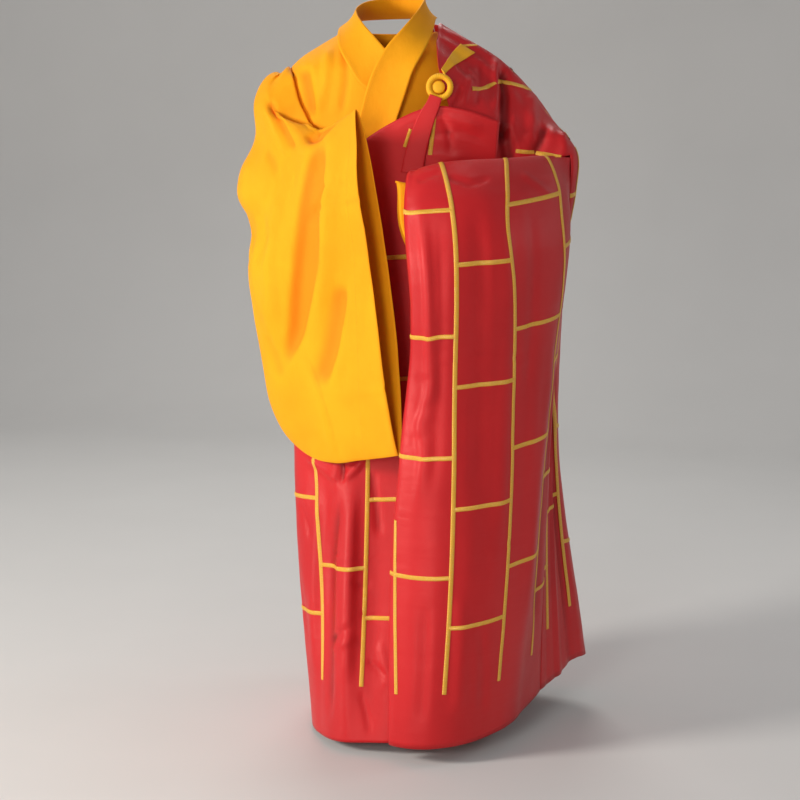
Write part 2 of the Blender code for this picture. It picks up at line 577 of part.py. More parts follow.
def lattice(name, points, strips, ends, stretch, facing, finish, collection):
    """The trim on one part, between two ends given in strips. Rows run up from the hem."""
    normals = grid_normals(points) * facing
    rows, columns = points.shape[:2]
    steps = np.linalg.norm(np.diff(points, axis=0), axis=2) / stretch
    rise = np.concatenate([np.zeros((1, columns)), np.cumsum(steps, axis=0)])
    half = TRIM_WIDTH / STRIP_PITCH / 2
    spots, faces, number = [], [], {}

    def column_at(strip):
        return float(np.interp(strip, strips, np.arange(columns)))

    def rises_at(strip):
        column = column_at(strip)
        j = min(int(column), columns - 2)
        return rise[:, j] * (1 - column + j) + rise[:, j + 1] * (column - j)

    def row_above(strip, above):
        return float(np.interp(above, rises_at(strip), np.arange(rows)))

    def spot(strip, key, row):
        label = (round(strip, 4), key)
        if label not in number:
            number[label] = len(spots)
            column = column_at(strip)
            out = read_grid(normals, row, column)
            spots.append(read_grid(points, row, column) + out * ((TRIM_GAP + TRIM_WALL) / np.linalg.norm(out)))
        return number[label]

    def highest(strip):
        return min(rises_at(strip)[-1] - 0.004, MANTLE_HEIGHT - BORDER + TRIM_WIDTH)

    lines = [line for line in range(math.ceil(ends[0]), math.floor(ends[1]) + 1)]
    crossings = {line: set() for line in lines}
    bars = []
    for line in range(lines[0] - 1, lines[-1] + 1):
        near, far = max(line, ends[0]), min(line + 1, ends[1])
        if far - near < 0.2:
            continue
        for above in block_lines(line):
            if above + TRIM_WIDTH / 2 + 0.003 < min(highest(near), highest(far)):
                bars.append((near, far, above))
                for end in (near, far):
                    if end in crossings:
                        crossings[end].add(above)
    for line in lines:
        marks = [("end", BORDER), ("top", highest(line))]
        for above in crossings[line]:
            marks += [(("bar", above, -1), above - TRIM_WIDTH / 2), (("bar", above, 1), above + TRIM_WIDTH / 2)]
        taken = [row_above(line, above) for _, above in marks]
        lowest, top = min(taken), max(taken)
        rungs = [(value, key, above) for value, (key, above) in zip(taken, marks)]
        for i in range(rows):
            if lowest + 0.12 < i < top - 0.12 and min(abs(i - value) for value in taken) > 0.12:
                rungs.append((float(i), ("row", i), None))
        rungs.sort(key=lambda rung: rung[0])
        pairs = []
        for value, key, above in rungs:
            pairs.append([spot(side, key, value if above is None else row_above(side, above))
                          for side in (line - half, line + half)])
        for (a, b), (c, d) in zip(pairs, pairs[1:]):
            faces.append((a, b, d, c))
    for near, far, above in bars:
        start = near + half if near in crossings else near
        stop = far - half if far in crossings else far
        stops = [start, *sorted(s for s in strips if start + 0.03 < s < stop - 0.03), stop]
        low = [spot(s, ("bar", above, -1), row_above(s, above - TRIM_WIDTH / 2)) for s in stops]
        high = [spot(s, ("bar", above, 1), row_above(s, above + TRIM_WIDTH / 2)) for s in stops]
        for k in range(len(stops) - 1):
            faces.append((low[k], low[k + 1], high[k + 1], high[k]))
    mesh = bpy.data.meshes.new(name)
    mesh.from_pydata(spots, [], [face[::facing] for face in faces])
    made = place(name, mesh, finish, collection)
    wall_maker = made.modifiers.new("wall", "SOLIDIFY")
    wall_maker.thickness = TRIM_WALL
    wall_maker.offset = -1
    return made


WRAP_STRIPS = np.linspace(BACK_STRIP, 15.15, 35)
SIDE_STRIPS = np.array([6.85, 6.60, 6.35, 6.10, 5.85, 5.60, 5.40, 5.20, 5.00, 4.70, 4.40, 4.00, 3.60, 3.30, 3.00,
                        2.70, 2.40, 2.10, 1.80])
DRAPE_STRIPS = np.array([-0.55, -0.35, -0.15, -0.02, 0.10, 0.25, 0.40, 0.60, 0.80, 1.00, 1.25, 1.50, 1.75, 2.00,
                         2.25, 2.50, 2.75, 3.00, 3.20, 3.40, 3.60])
SIDE_SHARE_ROWS = np.array([0.0, 0.05, 0.11, 0.165, 0.22, 0.275, 0.33, 0.37, 0.41, 0.47, 0.55, 0.64, 0.73, 0.82,
                            0.91, 1.0])
ELBOW_ROW = 6
DRAPE_DOWNS = np.array([-0.11, -0.075, -0.045, -0.02, 0.0, 0.025, 0.05, 0.09, 0.16, 0.25, 0.34, 0.43, 0.52, 0.61,
                        0.70, 0.80, 0.90, 1.0])


def build_mantle(red, gold, collection):
    wrap = wrap_grid(WRAP_STRIPS, 14)
    cloth("mantle_wrap", wrap[:, ::-1], MANTLE_WALL, red, collection)
    side = side_grid(SIDE_STRIPS, SIDE_SHARE_ROWS)
    elbow = list(SIDE_STRIPS).index(ELBOW_STRIP)
    last_row = len(SIDE_SHARE_ROWS) - 2
    cloth("mantle_side", side[::-1], MANTLE_WALL, red, collection,
          keep=lambda i, j: last_row - i < ELBOW_ROW or j < elbow)
    drape = drape_grid(DRAPE_STRIPS, DRAPE_DOWNS, side[ELBOW_ROW:, elbow])
    last_down = len(DRAPE_DOWNS) - 2

    def keep_drape(i, j):
        return DRAPE_DOWNS[last_down - i] > -0.001 or 0.09 < DRAPE_STRIPS[j] < 3.19

    cloth("mantle_forearm_drape", drape[::-1], MANTLE_WALL, red, collection, keep=keep_drape)
    crest = list(DRAPE_DOWNS[::-1]).index(0.0)
    lattice("mantle_wrap_trim", wrap, WRAP_STRIPS, (6.86, 14.4), 1.0, -1, gold, collection)
    lattice("mantle_side_trim", side[::-1, elbow::-1], SIDE_STRIPS[elbow::-1], (3.62, 6.84), 1.07, -1, gold, collection)
    lattice("mantle_forearm_trim", drape[::-1][:crest + 2], DRAPE_STRIPS, (0.1, 3.57), 1.0, 1, gold, collection)
    return side


# The clasp: a ring and hook at the left of the chest, a flared strap up over the shoulder, and a tab down over the
# wrap. Each of the tab's rows is a station: its middle, its width, and the way its face looks.

RING_CENTRE = np.array([0.1250, -0.1585, -0.1080])
RING_RADIUS = 0.0190
RING_WIRE = 0.0056
HOOK_RADIUS = 0.0112
CLASP_FACING = np.array([0.18, -0.97, 0.16])

# The shoulder strap starts at the ring and lies on the side part: a place on that part's grid for each station.
SHOULDER_STRAP = table(
    ("row", "column", "width"),
    (
        (0.85, 17.4, 0.0130),
        (0.95, 16.2, 0.0140),
        (1.03, 14.8, 0.0185),
        (1.07, 12.9, 0.0260),
        (1.15, 11.2, 0.0310),
    ),
)
STRAP_END = np.array([0.1332, -0.1460, -0.0856])
STRAP_END_WIDTH = 0.0115
STRAP_WALL = 0.0018
TAB_WALL = 0.0016
TAB = table(
    ("x", "y", "z", "width", "face_x", "face_y", "face_z"),
    (
        (0.1210, -0.1697, -0.1240, 0.0230, 0.10, -0.98, 0.10),
        (0.1150, -0.1708, -0.1400, 0.0250, 0.08, -0.99, 0.06),
        (0.1060, -0.1722, -0.1580, 0.0300, 0.05, -1.00, 0.02),
        (0.0960, -0.1740, -0.1850, 0.0340, 0.05, -1.00, 0.02),
        (0.0860, -0.1768, -0.2200, 0.0370, 0.05, -1.00, 0.03),
        (0.0790, -0.1800, -0.2600, 0.0390, 0.05, -1.00, 0.03),
    ),
)
SHARES_ACROSS = (-0.5, -0.17, 0.17, 0.5)


def tab_points(stations):
    """The tab's points: a row for each station, with a slightly raised middle."""
    knots = np.arange(len(TAB["x"]), dtype=float)
    where = np.linspace(0, knots[-1], stations)
    read = {name: smooth(where, knots, TAB[name]) for name in TAB}
    middle = np.stack([read["x"], read["y"], read["z"]], axis=-1)
    face = unit(np.stack([read["face_x"], read["face_y"], read["face_z"]], axis=-1))
    across = unit(np.cross(np.gradient(middle, axis=0), face))
    share = np.array(SHARES_ACROSS)
    lift = 0.0010 * (1 - (2 * share) ** 2)
    return (middle[:, None] + across[:, None] * (share[None, :, None] * read["width"][:, None, None])
            + face[:, None] * lift[None, :, None])


def shoulder_strap_points(side, stations):
    """The shoulder strap's points, just clear of the side part, with its first row at the ring."""
    knots = np.arange(len(SHOULDER_STRAP["row"]), dtype=float)
    where = np.linspace(0, knots[-1], stations)
    read = {name: smooth(where, knots, SHOULDER_STRAP[name]) for name in SHOULDER_STRAP}
    rows = []
    for row, column, width in zip(read["row"], read["column"], read["width"]):
        along = read_grid(side, row, column - 0.5) - read_grid(side, row, column + 0.5)
        down = read_grid(side, row + 0.5, column) - read_grid(side, row - 0.5, column)
        out = unit(np.cross(down, along))
        reach = width / np.linalg.norm(down)
        rows.append([read_grid(side, row + share * reach, column) + out * (MANTLE_WALL + STRAP_WALL + 0.0010)
                     for share in SHARES_ACROSS])
    across = unit(rows[0][-1] - rows[0][0])
    rows.insert(0, [STRAP_END + across * (share * STRAP_END_WIDTH) for share in SHARES_ACROSS])
    return np.array(rows)


def ring_points(around, sides):
    """A torus of points about the ring's centre, looking out along the clasp's facing."""
    facing = unit(CLASP_FACING)
    right = unit(np.cross(facing, np.array([0.0, 0.0, -1.0])))
    up = np.cross(right, facing)
    turn = np.linspace(0, 2 * math.pi, around, endpoint=False)
    side = np.linspace(0, 2 * math.pi, sides, endpoint=False)
    spoke = np.cos(turn)[:, None] * right + np.sin(turn)[:, None] * up
    reach = RING_RADIUS + RING_WIRE * np.cos(side)
    return RING_CENTRE + spoke[:, None] * reach[None, :, None] + facing * (RING_WIRE * np.sin(side))[None, :, None]


def closed_mesh(name, points, finish, collection, wrap_rows):
    """A grid of points closed round both ways as a torus, or round one way and capped as a disc or rod."""
    rows, columns = points.shape[:2]
    faces = []
    for i in range(rows if wrap_rows else rows - 1):
        for j in range(columns):
            k, n = (j + 1) % columns, (i + 1) % rows
            faces.append((i * columns + j, i * columns + k, n * columns + k, n * columns + j))
    if not wrap_rows:
        faces.append(tuple(range(columns))[::-1])
        faces.append(tuple((rows - 1) * columns + j for j in range(columns)))
    mesh = bpy.data.meshes.new(name)
    mesh.from_pydata([tuple(p) for p in points.reshape(-1, 3)], [], faces)
    return place(name, mesh, finish, collection)


def hook_points(around):
    """The hook's round end inside the ring: a low button, its rim stepped back from the ring on the +X side."""
    facing = unit(CLASP_FACING)
    right = unit(np.cross(facing, np.array([0.0, 0.0, -1.0])))
    up = np.cross(right, facing)
    turn = np.linspace(0, 2 * math.pi, around, endpoint=False)
    spoke = np.cos(turn)[:, None] * right + np.sin(turn)[:, None] * up
    centre = RING_CENTRE - right * 0.0018
    levels = ((-0.0030, 0.78), (-0.0015, 1.0), (0.0015, 1.0), (0.0032, 0.72))
    return np.array([centre + facing * out + spoke * (HOOK_RADIUS * reach) for out, reach in levels])


def build_clasp(side, yellow, red, collection):
    closed_mesh("clasp_ring", ring_points(28, 8), yellow, collection, True)
    closed_mesh("clasp_hook", hook_points(20)[::-1], yellow, collection, False)
    cloth("clasp_strap", shoulder_strap_points(side, 9), STRAP_WALL, yellow, collection)
    cloth("clasp_tab", tab_points(9), TAB_WALL, red, collection)


def main():
    for old in list(bpy.data.objects):
        bpy.data.objects.remove(old)
    collection = bpy.data.collections.new("monk_robe")
    bpy.context.scene.collection.children.link(collection)
    yellow = material("yellow_cotton", YELLOW, 0.75)
    red = material("red_satin", RED, 0.45)
    gold = material("gold_braid", GOLD, 0.45, 0.3)
    right_loop, left_loop = build_robe_body(yellow, collection)
    build_sleeves(right_loop, left_loop, yellow, collection)
    build_collar(yellow, collection)
    side = build_mantle(red, gold, collection)
    build_clasp(side, yellow, red, collection)


main()
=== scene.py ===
"""The looks of a worn Buddhist monk's outfit: a wide-sleeved yellow cotton under-robe with a crossed collar,
and a red satin patchwork mantle with gold braid, held by a ring and hook at the left of the chest."""

import math

import bmesh
import bpy
import numpy as np
from mathutils import Matrix, Vector, noise
from mathutils.bvhtree import BVHTree


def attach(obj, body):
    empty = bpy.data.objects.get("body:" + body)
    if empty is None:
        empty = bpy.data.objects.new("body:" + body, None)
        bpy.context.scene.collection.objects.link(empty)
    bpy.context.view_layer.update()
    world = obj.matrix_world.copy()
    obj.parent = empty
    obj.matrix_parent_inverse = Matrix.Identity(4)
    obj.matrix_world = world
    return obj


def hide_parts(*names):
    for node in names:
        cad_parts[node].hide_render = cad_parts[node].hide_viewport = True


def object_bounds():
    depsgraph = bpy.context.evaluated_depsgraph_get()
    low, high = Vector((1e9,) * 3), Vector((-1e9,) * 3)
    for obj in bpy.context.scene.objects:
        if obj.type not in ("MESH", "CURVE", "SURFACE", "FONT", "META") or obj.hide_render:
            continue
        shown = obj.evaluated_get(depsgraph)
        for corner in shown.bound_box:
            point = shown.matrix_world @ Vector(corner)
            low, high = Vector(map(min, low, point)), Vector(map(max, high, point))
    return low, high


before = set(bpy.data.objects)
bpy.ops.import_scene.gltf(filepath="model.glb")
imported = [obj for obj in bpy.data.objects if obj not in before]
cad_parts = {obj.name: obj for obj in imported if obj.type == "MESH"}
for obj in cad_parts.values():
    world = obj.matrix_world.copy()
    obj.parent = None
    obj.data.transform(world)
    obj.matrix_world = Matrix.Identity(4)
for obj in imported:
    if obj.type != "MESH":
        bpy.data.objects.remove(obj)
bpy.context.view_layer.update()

# The camera comes first, because the creases seen from the front are placed in its frame.
AZIMUTH, ELEVATION = math.radians(12), math.radians(10)
CAMERA_DISTANCE, CAMERA_HEIGHT, CAMERA_ASIDE = 3.3, -0.12, 0.0193
FOCAL_PIXELS, FRAME_PIXELS = 1736.0, 800
TO_CAMERA = np.array([math.sin(AZIMUTH) * math.cos(ELEVATION), -math.cos(AZIMUTH) * math.cos(ELEVATION),
                      math.sin(ELEVATION)])
TO_RIGHT = np.array([math.cos(AZIMUTH), math.sin(AZIMUTH), 0.0])
TO_TOP = np.cross(TO_CAMERA, TO_RIGHT)
EYE = np.array([math.sin(AZIMUTH) * CAMERA_DISTANCE, -math.cos(AZIMUTH) * CAMERA_DISTANCE, CAMERA_HEIGHT])
EYE = EYE + TO_RIGHT * CAMERA_ASIDE

# Sizes of the cloth
ROBE_CLOTH = 0.0010
MANTLE_CLOTH = 0.0010
COLLAR_CLOTH = 0.0022
MANTLE_WALL = 0.0014
ROBE_WALL = 0.0014
SEAM_GAP = 0.0004
STRIP_PITCH = 0.112
LONG_BLOCK = 0.220
SHORT_BLOCK = 0.126
BORDER = 0.105
MANTLE_HEIGHT = 4 * LONG_BLOCK + SHORT_BLOCK + 2 * BORDER
BRAID_WIDTH = 0.0080
BRAID_RISE = 0.0011


# Tables, interpolation and folds

def table(columns, rows):
    """A short table of sections as named arrays."""
    values = np.array(rows, float)
    return {name: values[:, i] for i, name in enumerate(columns)}


def blend(t):
    """Weights of a smooth curve between two knots: the first's value and slope, then the second's."""
    return 2 * t**3 - 3 * t**2 + 1, t**3 - 2 * t**2 + t, 3 * t**2 - 2 * t**3, t**3 - t**2


def smooth(x, knots, values):
    """A smooth curve through the table's values, read at x; flat beyond both ends."""
    x = np.clip(np.asarray(x, float), knots[0], knots[-1])
    slope = np.gradient(values, knots)
    i = np.clip(np.searchsorted(knots, x, side="right") - 1, 0, len(knots) - 2)
    span = knots[i + 1] - knots[i]
    a, b, c, d = blend((x - knots[i]) / span)
    return a * values[i] + b * span * slope[i] + c * values[i + 1] + d * span * slope[i + 1]


def unit(vectors):
    """The vectors at length 1."""
    return vectors / np.maximum(np.linalg.norm(vectors, axis=-1, keepdims=True), 1e-12)


def grid_normals(points, closed=False):
    """Normals of a grid of points; rows run up the first axis, columns along the second."""
    along = np.gradient(points, axis=0)
    if closed:
        across = (np.roll(points, -1, axis=1) - np.roll(points, 1, axis=1)) / 2
    else:
        across = np.gradient(points, axis=1)
    return unit(np.cross(across, along))


def bump(x):
    """A soft ridge, 1 at 0 and gone beyond 1."""
    return np.where(np.abs(x) < 1, 0.5 + 0.5 * np.cos(np.pi * np.clip(x, -1, 1)), 0.0)


def ramp(x, start, end):
    """0 at start and 1 at end, eased."""
    t = np.clip((np.asarray(x, float) - start) / (end - start), 0, 1)
    return t * t * (3 - 2 * t)


def finer(values, pieces):
    """The same values with each interval cut into so many pieces."""
    values = np.asarray(values, float)
    return np.interp(np.arange((len(values) - 1) * pieces + 1) / pieces, np.arange(len(values)), values)


FOLD_COLUMNS = ("across", "lean", "width", "depth", "first", "last")


def fold_heights(folds, across, down):
    """A fold sits at across + lean * down, and is lost at its first and last."""
    height = np.zeros(across.shape)
    for row in folds:
        fold = dict(zip(FOLD_COLUMNS, row))
        middle = (fold["first"] + fold["last"]) / 2
        half = (fold["last"] - fold["first"]) / 2
        offset = across - fold["across"] - fold["lean"] * (down - middle)
        height += fold["depth"] * bump(offset / fold["width"]) * bump((down - middle) / half) ** 0.5
    return height


def folded(points, folds, across, down, closed=False):
    """The points moved along their normals by the folds."""
    return points + grid_normals(points, closed) * fold_heights(folds, across, down)[..., None]


def in_frame(points):
    """Where points show in the camera's 800 by 800 frame."""
    away = points - EYE
    depth = -(away @ TO_CAMERA)
    return np.stack([FRAME_PIXELS / 2 + FOCAL_PIXELS * (away @ TO_RIGHT) / depth,
                     FRAME_PIXELS / 2 - FOCAL_PIXELS * (away @ TO_TOP) / depth], axis=-1)


def crease_heights(places, creases):
    """Heights from creases drawn in the camera's frame. A crease is its depth in millimetres, its reach to
    the left and to the right of its own direction in frame units, and its points."""
    height = np.zeros(places.shape[:-1])
    for depth, reach_left, reach_right, *line in creases:
        line = np.array(line, float)
        lengths = np.linalg.norm(np.diff(line, axis=0), axis=1)
        total, before = lengths.sum(), 0.0
        best = np.full(places.shape[:-1], 1e9)
        side = np.zeros(places.shape[:-1])
        where = np.zeros(places.shape[:-1])
        for start, end, length in zip(line, line[1:], lengths):
            way = (end - start) / length
            along = (places - start) @ way
            off = (places[..., 0] - start[0]) * way[1] - (places[..., 1] - start[1]) * way[0]
            held = np.clip(along, 0, length)
            distance = np.hypot(off, along - held)
            closer = distance < best
            best = np.where(closer, distance, best)
            side = np.where(closer, off, side)
            where = np.where(closer, (before + held) / total, where)
            before += length
        reach = np.where(side > 0, reach_left, reach_right)
        ends = ramp(where, 0.0, 0.18) * (1 - ramp(where, 0.82, 1.0))
        height += depth * 0.001 * bump(best / reach) * ends
    return height


def crumple(points, scale, seed):
    """Soft uneven noise from -1 to 1 at the points."""
    flat = points.reshape(-1, 3) / scale + np.array([seed * 7.13, seed * 3.71, seed * 1.93])
    values = np.array([noise.noise(Vector(p)) for p in flat])
    return values.reshape(points.shape[:-1])


# How wide the crumpling is, how much it is drawn out upwards, and how far a face looks to the camera's side
# where the creases start to show on it and where they show in full
FINE_CRUMPLE = 0.045
COARSE_CRUMPLE = 0.11
DRAWN_OUT = np.array([1, 1, 0.45])
CREASES_SHOW = (-0.05, 0.25)


def pressed(points, creases, seed, fine, coarse, closed=False):
    """The points moved out by creases seen from the front and by soft crumpling, and how far they moved."""
    normals = grid_normals(points, closed)
    height = fine * crumple(points, FINE_CRUMPLE, seed)
    height = height + coarse * crumple(points * DRAWN_OUT, COARSE_CRUMPLE, seed + 5)
    if len(creases):
        facing = np.einsum("...k,...k->...", normals, unit(EYE - points))
        height = height + crease_heights(in_frame(points), creases) * ramp(facing, *CREASES_SHOW)
    return points + normals * height[..., None], height


# Objects

PIECES = []


def new_piece(name, mesh):
    """The mesh as a smooth piece of the scene."""
    mesh.shade_smooth()
    made = bpy.data.objects.new(name, mesh)
    bpy.context.scene.collection.objects.link(made)
    PIECES.append(made)
    return made


def cloth_piece(name, points, finish, wall, closed=False, keep=None, height=None):
    """A grid of points as a cloth shell, with a UV map in metres and its fold heights in centimetres, which
    the cotton and the satin turn into painted shade in the creases.
    """
    rows, columns = points.shape[:2]
    last = columns if closed else columns - 1
    steps_across = np.linalg.norm(np.diff(points, axis=1), axis=2).mean(axis=0)
    steps_up = np.linalg.norm(np.diff(points, axis=0), axis=2).mean(axis=1)
    u_at = np.concatenate([[0], np.cumsum(steps_across)])
    v_at = np.concatenate([[0], np.cumsum(steps_up)])
    if closed:
        u_at = np.concatenate([u_at, [2 * u_at[-1] - u_at[-2]]])
    faces, corners = [], []
    for i in range(rows - 1):
        for j in range(last):
            if keep is None or keep(i, j):
                k = (j + 1) % columns
                faces.append([i * columns + j, i * columns + k, (i + 1) * columns + k, (i + 1) * columns + j])
                corners += [(u_at[j], v_at[i]), (u_at[j + 1], v_at[i]),
                            (u_at[j + 1], v_at[i + 1]), (u_at[j], v_at[i + 1])]
    used = np.unique(np.array(faces))
    number = np.full(rows * columns, -1)
    number[used] = np.arange(len(used))
    mesh = bpy.data.meshes.new(name)
    mesh.from_pydata(points.reshape(-1, 3)[used].tolist(), [], number[np.array(faces)].tolist())
    uv = mesh.uv_layers.new(name="cloth")
    uv.data.foreach_set("uv", np.array(corners, np.float32).ravel())
    fold = mesh.attributes.new("fold", "FLOAT", "POINT")
    values = np.zeros(rows * columns) if height is None else height.reshape(-1)
    fold.data.foreach_set("value", values[used].astype(np.float32) * 100)
    mesh.materials.append(finish)
    shell = new_piece(name, mesh).modifiers.new("cloth", "SOLIDIFY")
    shell.thickness = wall
    shell.offset = -1


def plain_piece(name, vertices, faces, finish):
    """A closed mesh as a piece, its faces turned outwards."""
    mesh = bpy.data.meshes.new(name)
    mesh.from_pydata([tuple(v) for v in vertices], [], faces)
    mesh.materials.append(finish)
    new_piece(name, mesh)
    work = bmesh.new()
    work.from_mesh(mesh)
    bmesh.ops.recalc_face_normals(work, faces=work.faces)
    work.to_mesh(mesh)
    work.free()


# Shader expressions

class Value:
    """A socket that adds, multiplies and is taken from a number in a material's node tree."""

    def __init__(self, paint, socket):
        self.paint, self.socket = paint, socket

    def _maths(self, operation, first, second):
        return self.paint.number("ShaderNodeMath", {"operation": operation}, {0: first, 1: second})

    def __add__(self, other):
        return self._maths("ADD", self, other)

    def __radd__(self, other):
        return self._maths("ADD", other, self)

    def __rsub__(self, other):
        return self._maths("SUBTRACT", other, self)

    def __mul__(self, other):
        return self._maths("MULTIPLY", self, other)

    def wave(self):
        return self._maths("SINE", self, 0.0)

    def size(self):
        return self._maths("ABSOLUTE", self, 0.0)

    def between(self, low, high):
        """0 below low and 1 above high, eased."""
        return self.paint.number("ShaderNodeMapRange", {"interpolation_type": "SMOOTHSTEP"},
                                 {"Value": self, "From Min": low, "From Max": high})


class Paint:
    """One material and its node tree."""

    def __init__(self, name, roughness, **constants):
        self.material = bpy.data.materials.new(name)
        self.material.use_nodes = True
        self.tree = self.material.node_tree
        self.shader = self.tree.nodes["Principled BSDF"]
        self.shader.inputs["Roughness"].default_value = roughness
        for label, value in constants.items():
            self.shader.inputs[label.replace("_", " ")].default_value = value

    def node(self, kind, settings, inputs):
        made = self.tree.nodes.new(kind)
        for label, value in settings.items():
            setattr(made, label, value)
        for label, value in inputs.items():
            if isinstance(value, Value):
                self.tree.links.new(value.socket, made.inputs[label])
            else:
                made.inputs[label].default_value = value
        return made

    def number(self, kind, settings, inputs, output=0):
        return Value(self, self.node(kind, settings, inputs).outputs[output])

    def place(self, scale=(1, 1, 1)):
        where = self.number("ShaderNodeTexCoord", {}, {}, "Object")
        return self.number("ShaderNodeMapping", {}, {"Vector": where, "Scale": scale})

    def cloth_map(self):
        return self.number("ShaderNodeUVMap", {"uv_map": "cloth"}, {})

    def attribute(self, name):
        return self.number("ShaderNodeAttribute", {"attribute_name": name}, {}, "Fac")

    def parts(self, vector):
        made = self.node("ShaderNodeSeparateXYZ", {}, {"Vector": vector})
        return Value(self, made.outputs["X"]), Value(self, made.outputs["Y"])

    def clouds(self, vector, scale, detail=3.0, rough=0.5):
        return self.number("ShaderNodeTexNoise", {}, {"Vector": vector, "Scale": scale, "Detail": detail,
                                                      "Roughness": rough})

    def mix(self, share, first, second):
        made = self.tree.nodes.new("ShaderNodeMix")
        made.data_type = "RGBA"
        for socket, value in ((made.inputs[0], share), (made.inputs[6], first), (made.inputs[7], second)):
            if isinstance(value, Value):
                self.tree.links.new(value.socket, socket)
            else:
                socket.default_value = value if isinstance(value, float) else (*value, 1)
        return Value(self, made.outputs[2])

    def relief(self, height, distance, strength, under=None):
        inputs = {"Height": height, "Distance": distance, "Strength": strength}
        if under is not None:
            inputs["Normal"] = under
        return self.number("ShaderNodeBump", {}, inputs)

    def finish(self, **links):
        for label, value in links.items():
            self.tree.links.new(value.socket, self.shader.inputs[label.replace("_", " ")])
        return self.material


def weave(paint, threads):
    """A plain weave in the cloth's own map: threads is the number to the metre."""
    across, along = paint.parts(paint.cloth_map())
    warp = (across * (threads * 2 * math.pi)).wave()
    weft = (along * (threads * 2 * math.pi)).wave()
    return warp * weft


def cotton():
    paint = Paint("yellow_cotton", 0.74, Sheen_Weight=0.10, Sheen_Roughness=0.45,
                  Sheen_Tint=(1.0, 0.66, 0.15, 1), Specular_IOR_Level=0.22)
    cloudy = paint.clouds(paint.place(), 9.0, 4.0)
    fold = paint.attribute("fold")
    # Painted shade: where the fold heights sink into a crease, the yellow is mixed towards a darker orange.
    crease_shade = 1.0 - fold.between(-0.75, 0.10)
    light = paint.mix(cloudy.between(0.3, 0.7), (1.0, 0.410, 0.004), (0.97, 0.365, 0.003))
    colour = paint.mix(crease_shade * 0.7, light, (0.98, 0.215, 0.002))
    fibres = paint.clouds(paint.place(), 900.0, 2.0)
    wrinkle = paint.clouds(paint.place((1, 1, 0.55)), 24.0, 4.0, 0.6)
    base = paint.relief(wrinkle, 0.006, 0.30)
    cloth = paint.relief(weave(paint, 700) * 0.5 + fibres * 0.6, 0.0004, 0.5, base)
    return paint.finish(Base_Color=colour, Normal=cloth, Roughness=0.66 + cloudy * 0.16)


def satin():
    paint = Paint("red_satin", 0.40, Sheen_Weight=0.12, Sheen_Roughness=0.30, Sheen_Tint=(1.0, 0.22, 0.20, 1),
                  Specular_IOR_Level=0.60, Specular_Tint=(1.0, 0.50, 0.46, 1))
    cloudy = paint.clouds(paint.place((1, 1, 0.5)), 7.0, 3.0)
    fold = paint.attribute("fold")
    light = paint.mix(cloudy.between(0.3, 0.7), (0.64, 0.016, 0.020), (0.56, 0.012, 0.016))
    # Painted shade: where the fold heights sink into a crease, the red is mixed towards a near-black red.
    colour = paint.mix((1.0 - fold.between(-0.95, -0.15)) * 0.8, light, (0.20, 0.003, 0.004))
    ripple = paint.clouds(paint.place((0.35, 0.35, 1.9)), 22.0, 3.0, 0.5)
    base = paint.relief(ripple, 0.004, 0.30)
    across, along = paint.parts(paint.cloth_map())
    floats = (along * (900 * 2 * math.pi) + across * (300 * 2 * math.pi)).wave()
    cloth = paint.relief(floats, 0.00025, 0.35, base)
    return paint.finish(Base_Color=colour, Normal=cloth, Roughness=0.33 + cloudy * 0.12)


def braid():
    paint = Paint("gold_braid", 0.38, Metallic=0.12, Specular_IOR_Level=0.8)
    across, along = paint.parts(paint.cloth_map())
    plait = ((along * 1050.0 + (across * 760.0).wave() * 1.6).wave()).size()
    # Painted glints: small pale gold spots, gathered in patches, are painted into the braid's colour; the
    # braid is also smoother and raised there.
    glints = paint.number("ShaderNodeTexVoronoi", {}, {"Vector": paint.place(), "Scale": 520.0}, "Distance")
    glint_specks = 1.0 - glints.between(0.10, 0.45)
    glint_patches = paint.clouds(paint.place(), 230.0, 3.0, 0.7).between(0.35, 0.70)
    # Painted shade and light: the plait is darker in its grooves and brighter on its ridges, with the same
    # pattern as its relief.
    colour = paint.mix(plait, (0.72, 0.31, 0.012), (1.0, 0.54, 0.035))
    glinting_colour = paint.mix(glint_specks * glint_patches, colour, (1.0, 0.86, 0.30))
    return paint.finish(Base_Color=glinting_colour, Roughness=0.44 - glint_specks * 0.22,
                        Normal=paint.relief(plait + glint_specks * 0.5, 0.0009, 0.8))


def wrapped_cotton():
    paint = Paint("wrapped_yellow", 0.62, Sheen_Weight=0.2, Sheen_Tint=(1.0, 0.72, 0.25, 1),
                  Specular_IOR_Level=0.35)
    where = paint.place()
    cloudy = paint.clouds(where, 30.0, 3.0)
    colour = paint.mix(cloudy.between(0.3, 0.7), (1.0, 0.50, 0.012), (0.92, 0.42, 0.008))
    fibres = paint.clouds(where, 1100.0, 2.0)
    return paint.finish(Base_Color=colour, Normal=paint.relief(fibres, 0.0005, 0.6))


def thread(name, colour):
    paint = Paint(name, 0.55, Specular_IOR_Level=0.4)
    fibres = paint.clouds(paint.place(), 2200.0, 1.0)
    shade = paint.mix(fibres, tuple(c * 0.8 for c in colour), colour)
    return paint.finish(Base_Color=shade, Normal=paint.relief(fibres, 0.0002, 0.5))


COTTON, SATIN, BRAID, WRAPPED = cotton(), satin(), braid(), wrapped_cotton()
YELLOW_THREAD = thread("yellow_thread", (0.86, 0.36, 0.01))
RED_THREAD = thread("red_thread", (0.42, 0.010, 0.014))


# The under-robe's body: level rings, from the hem up to the neck. A ring's angle is 0 in front and 90 on the
# right, at -X.

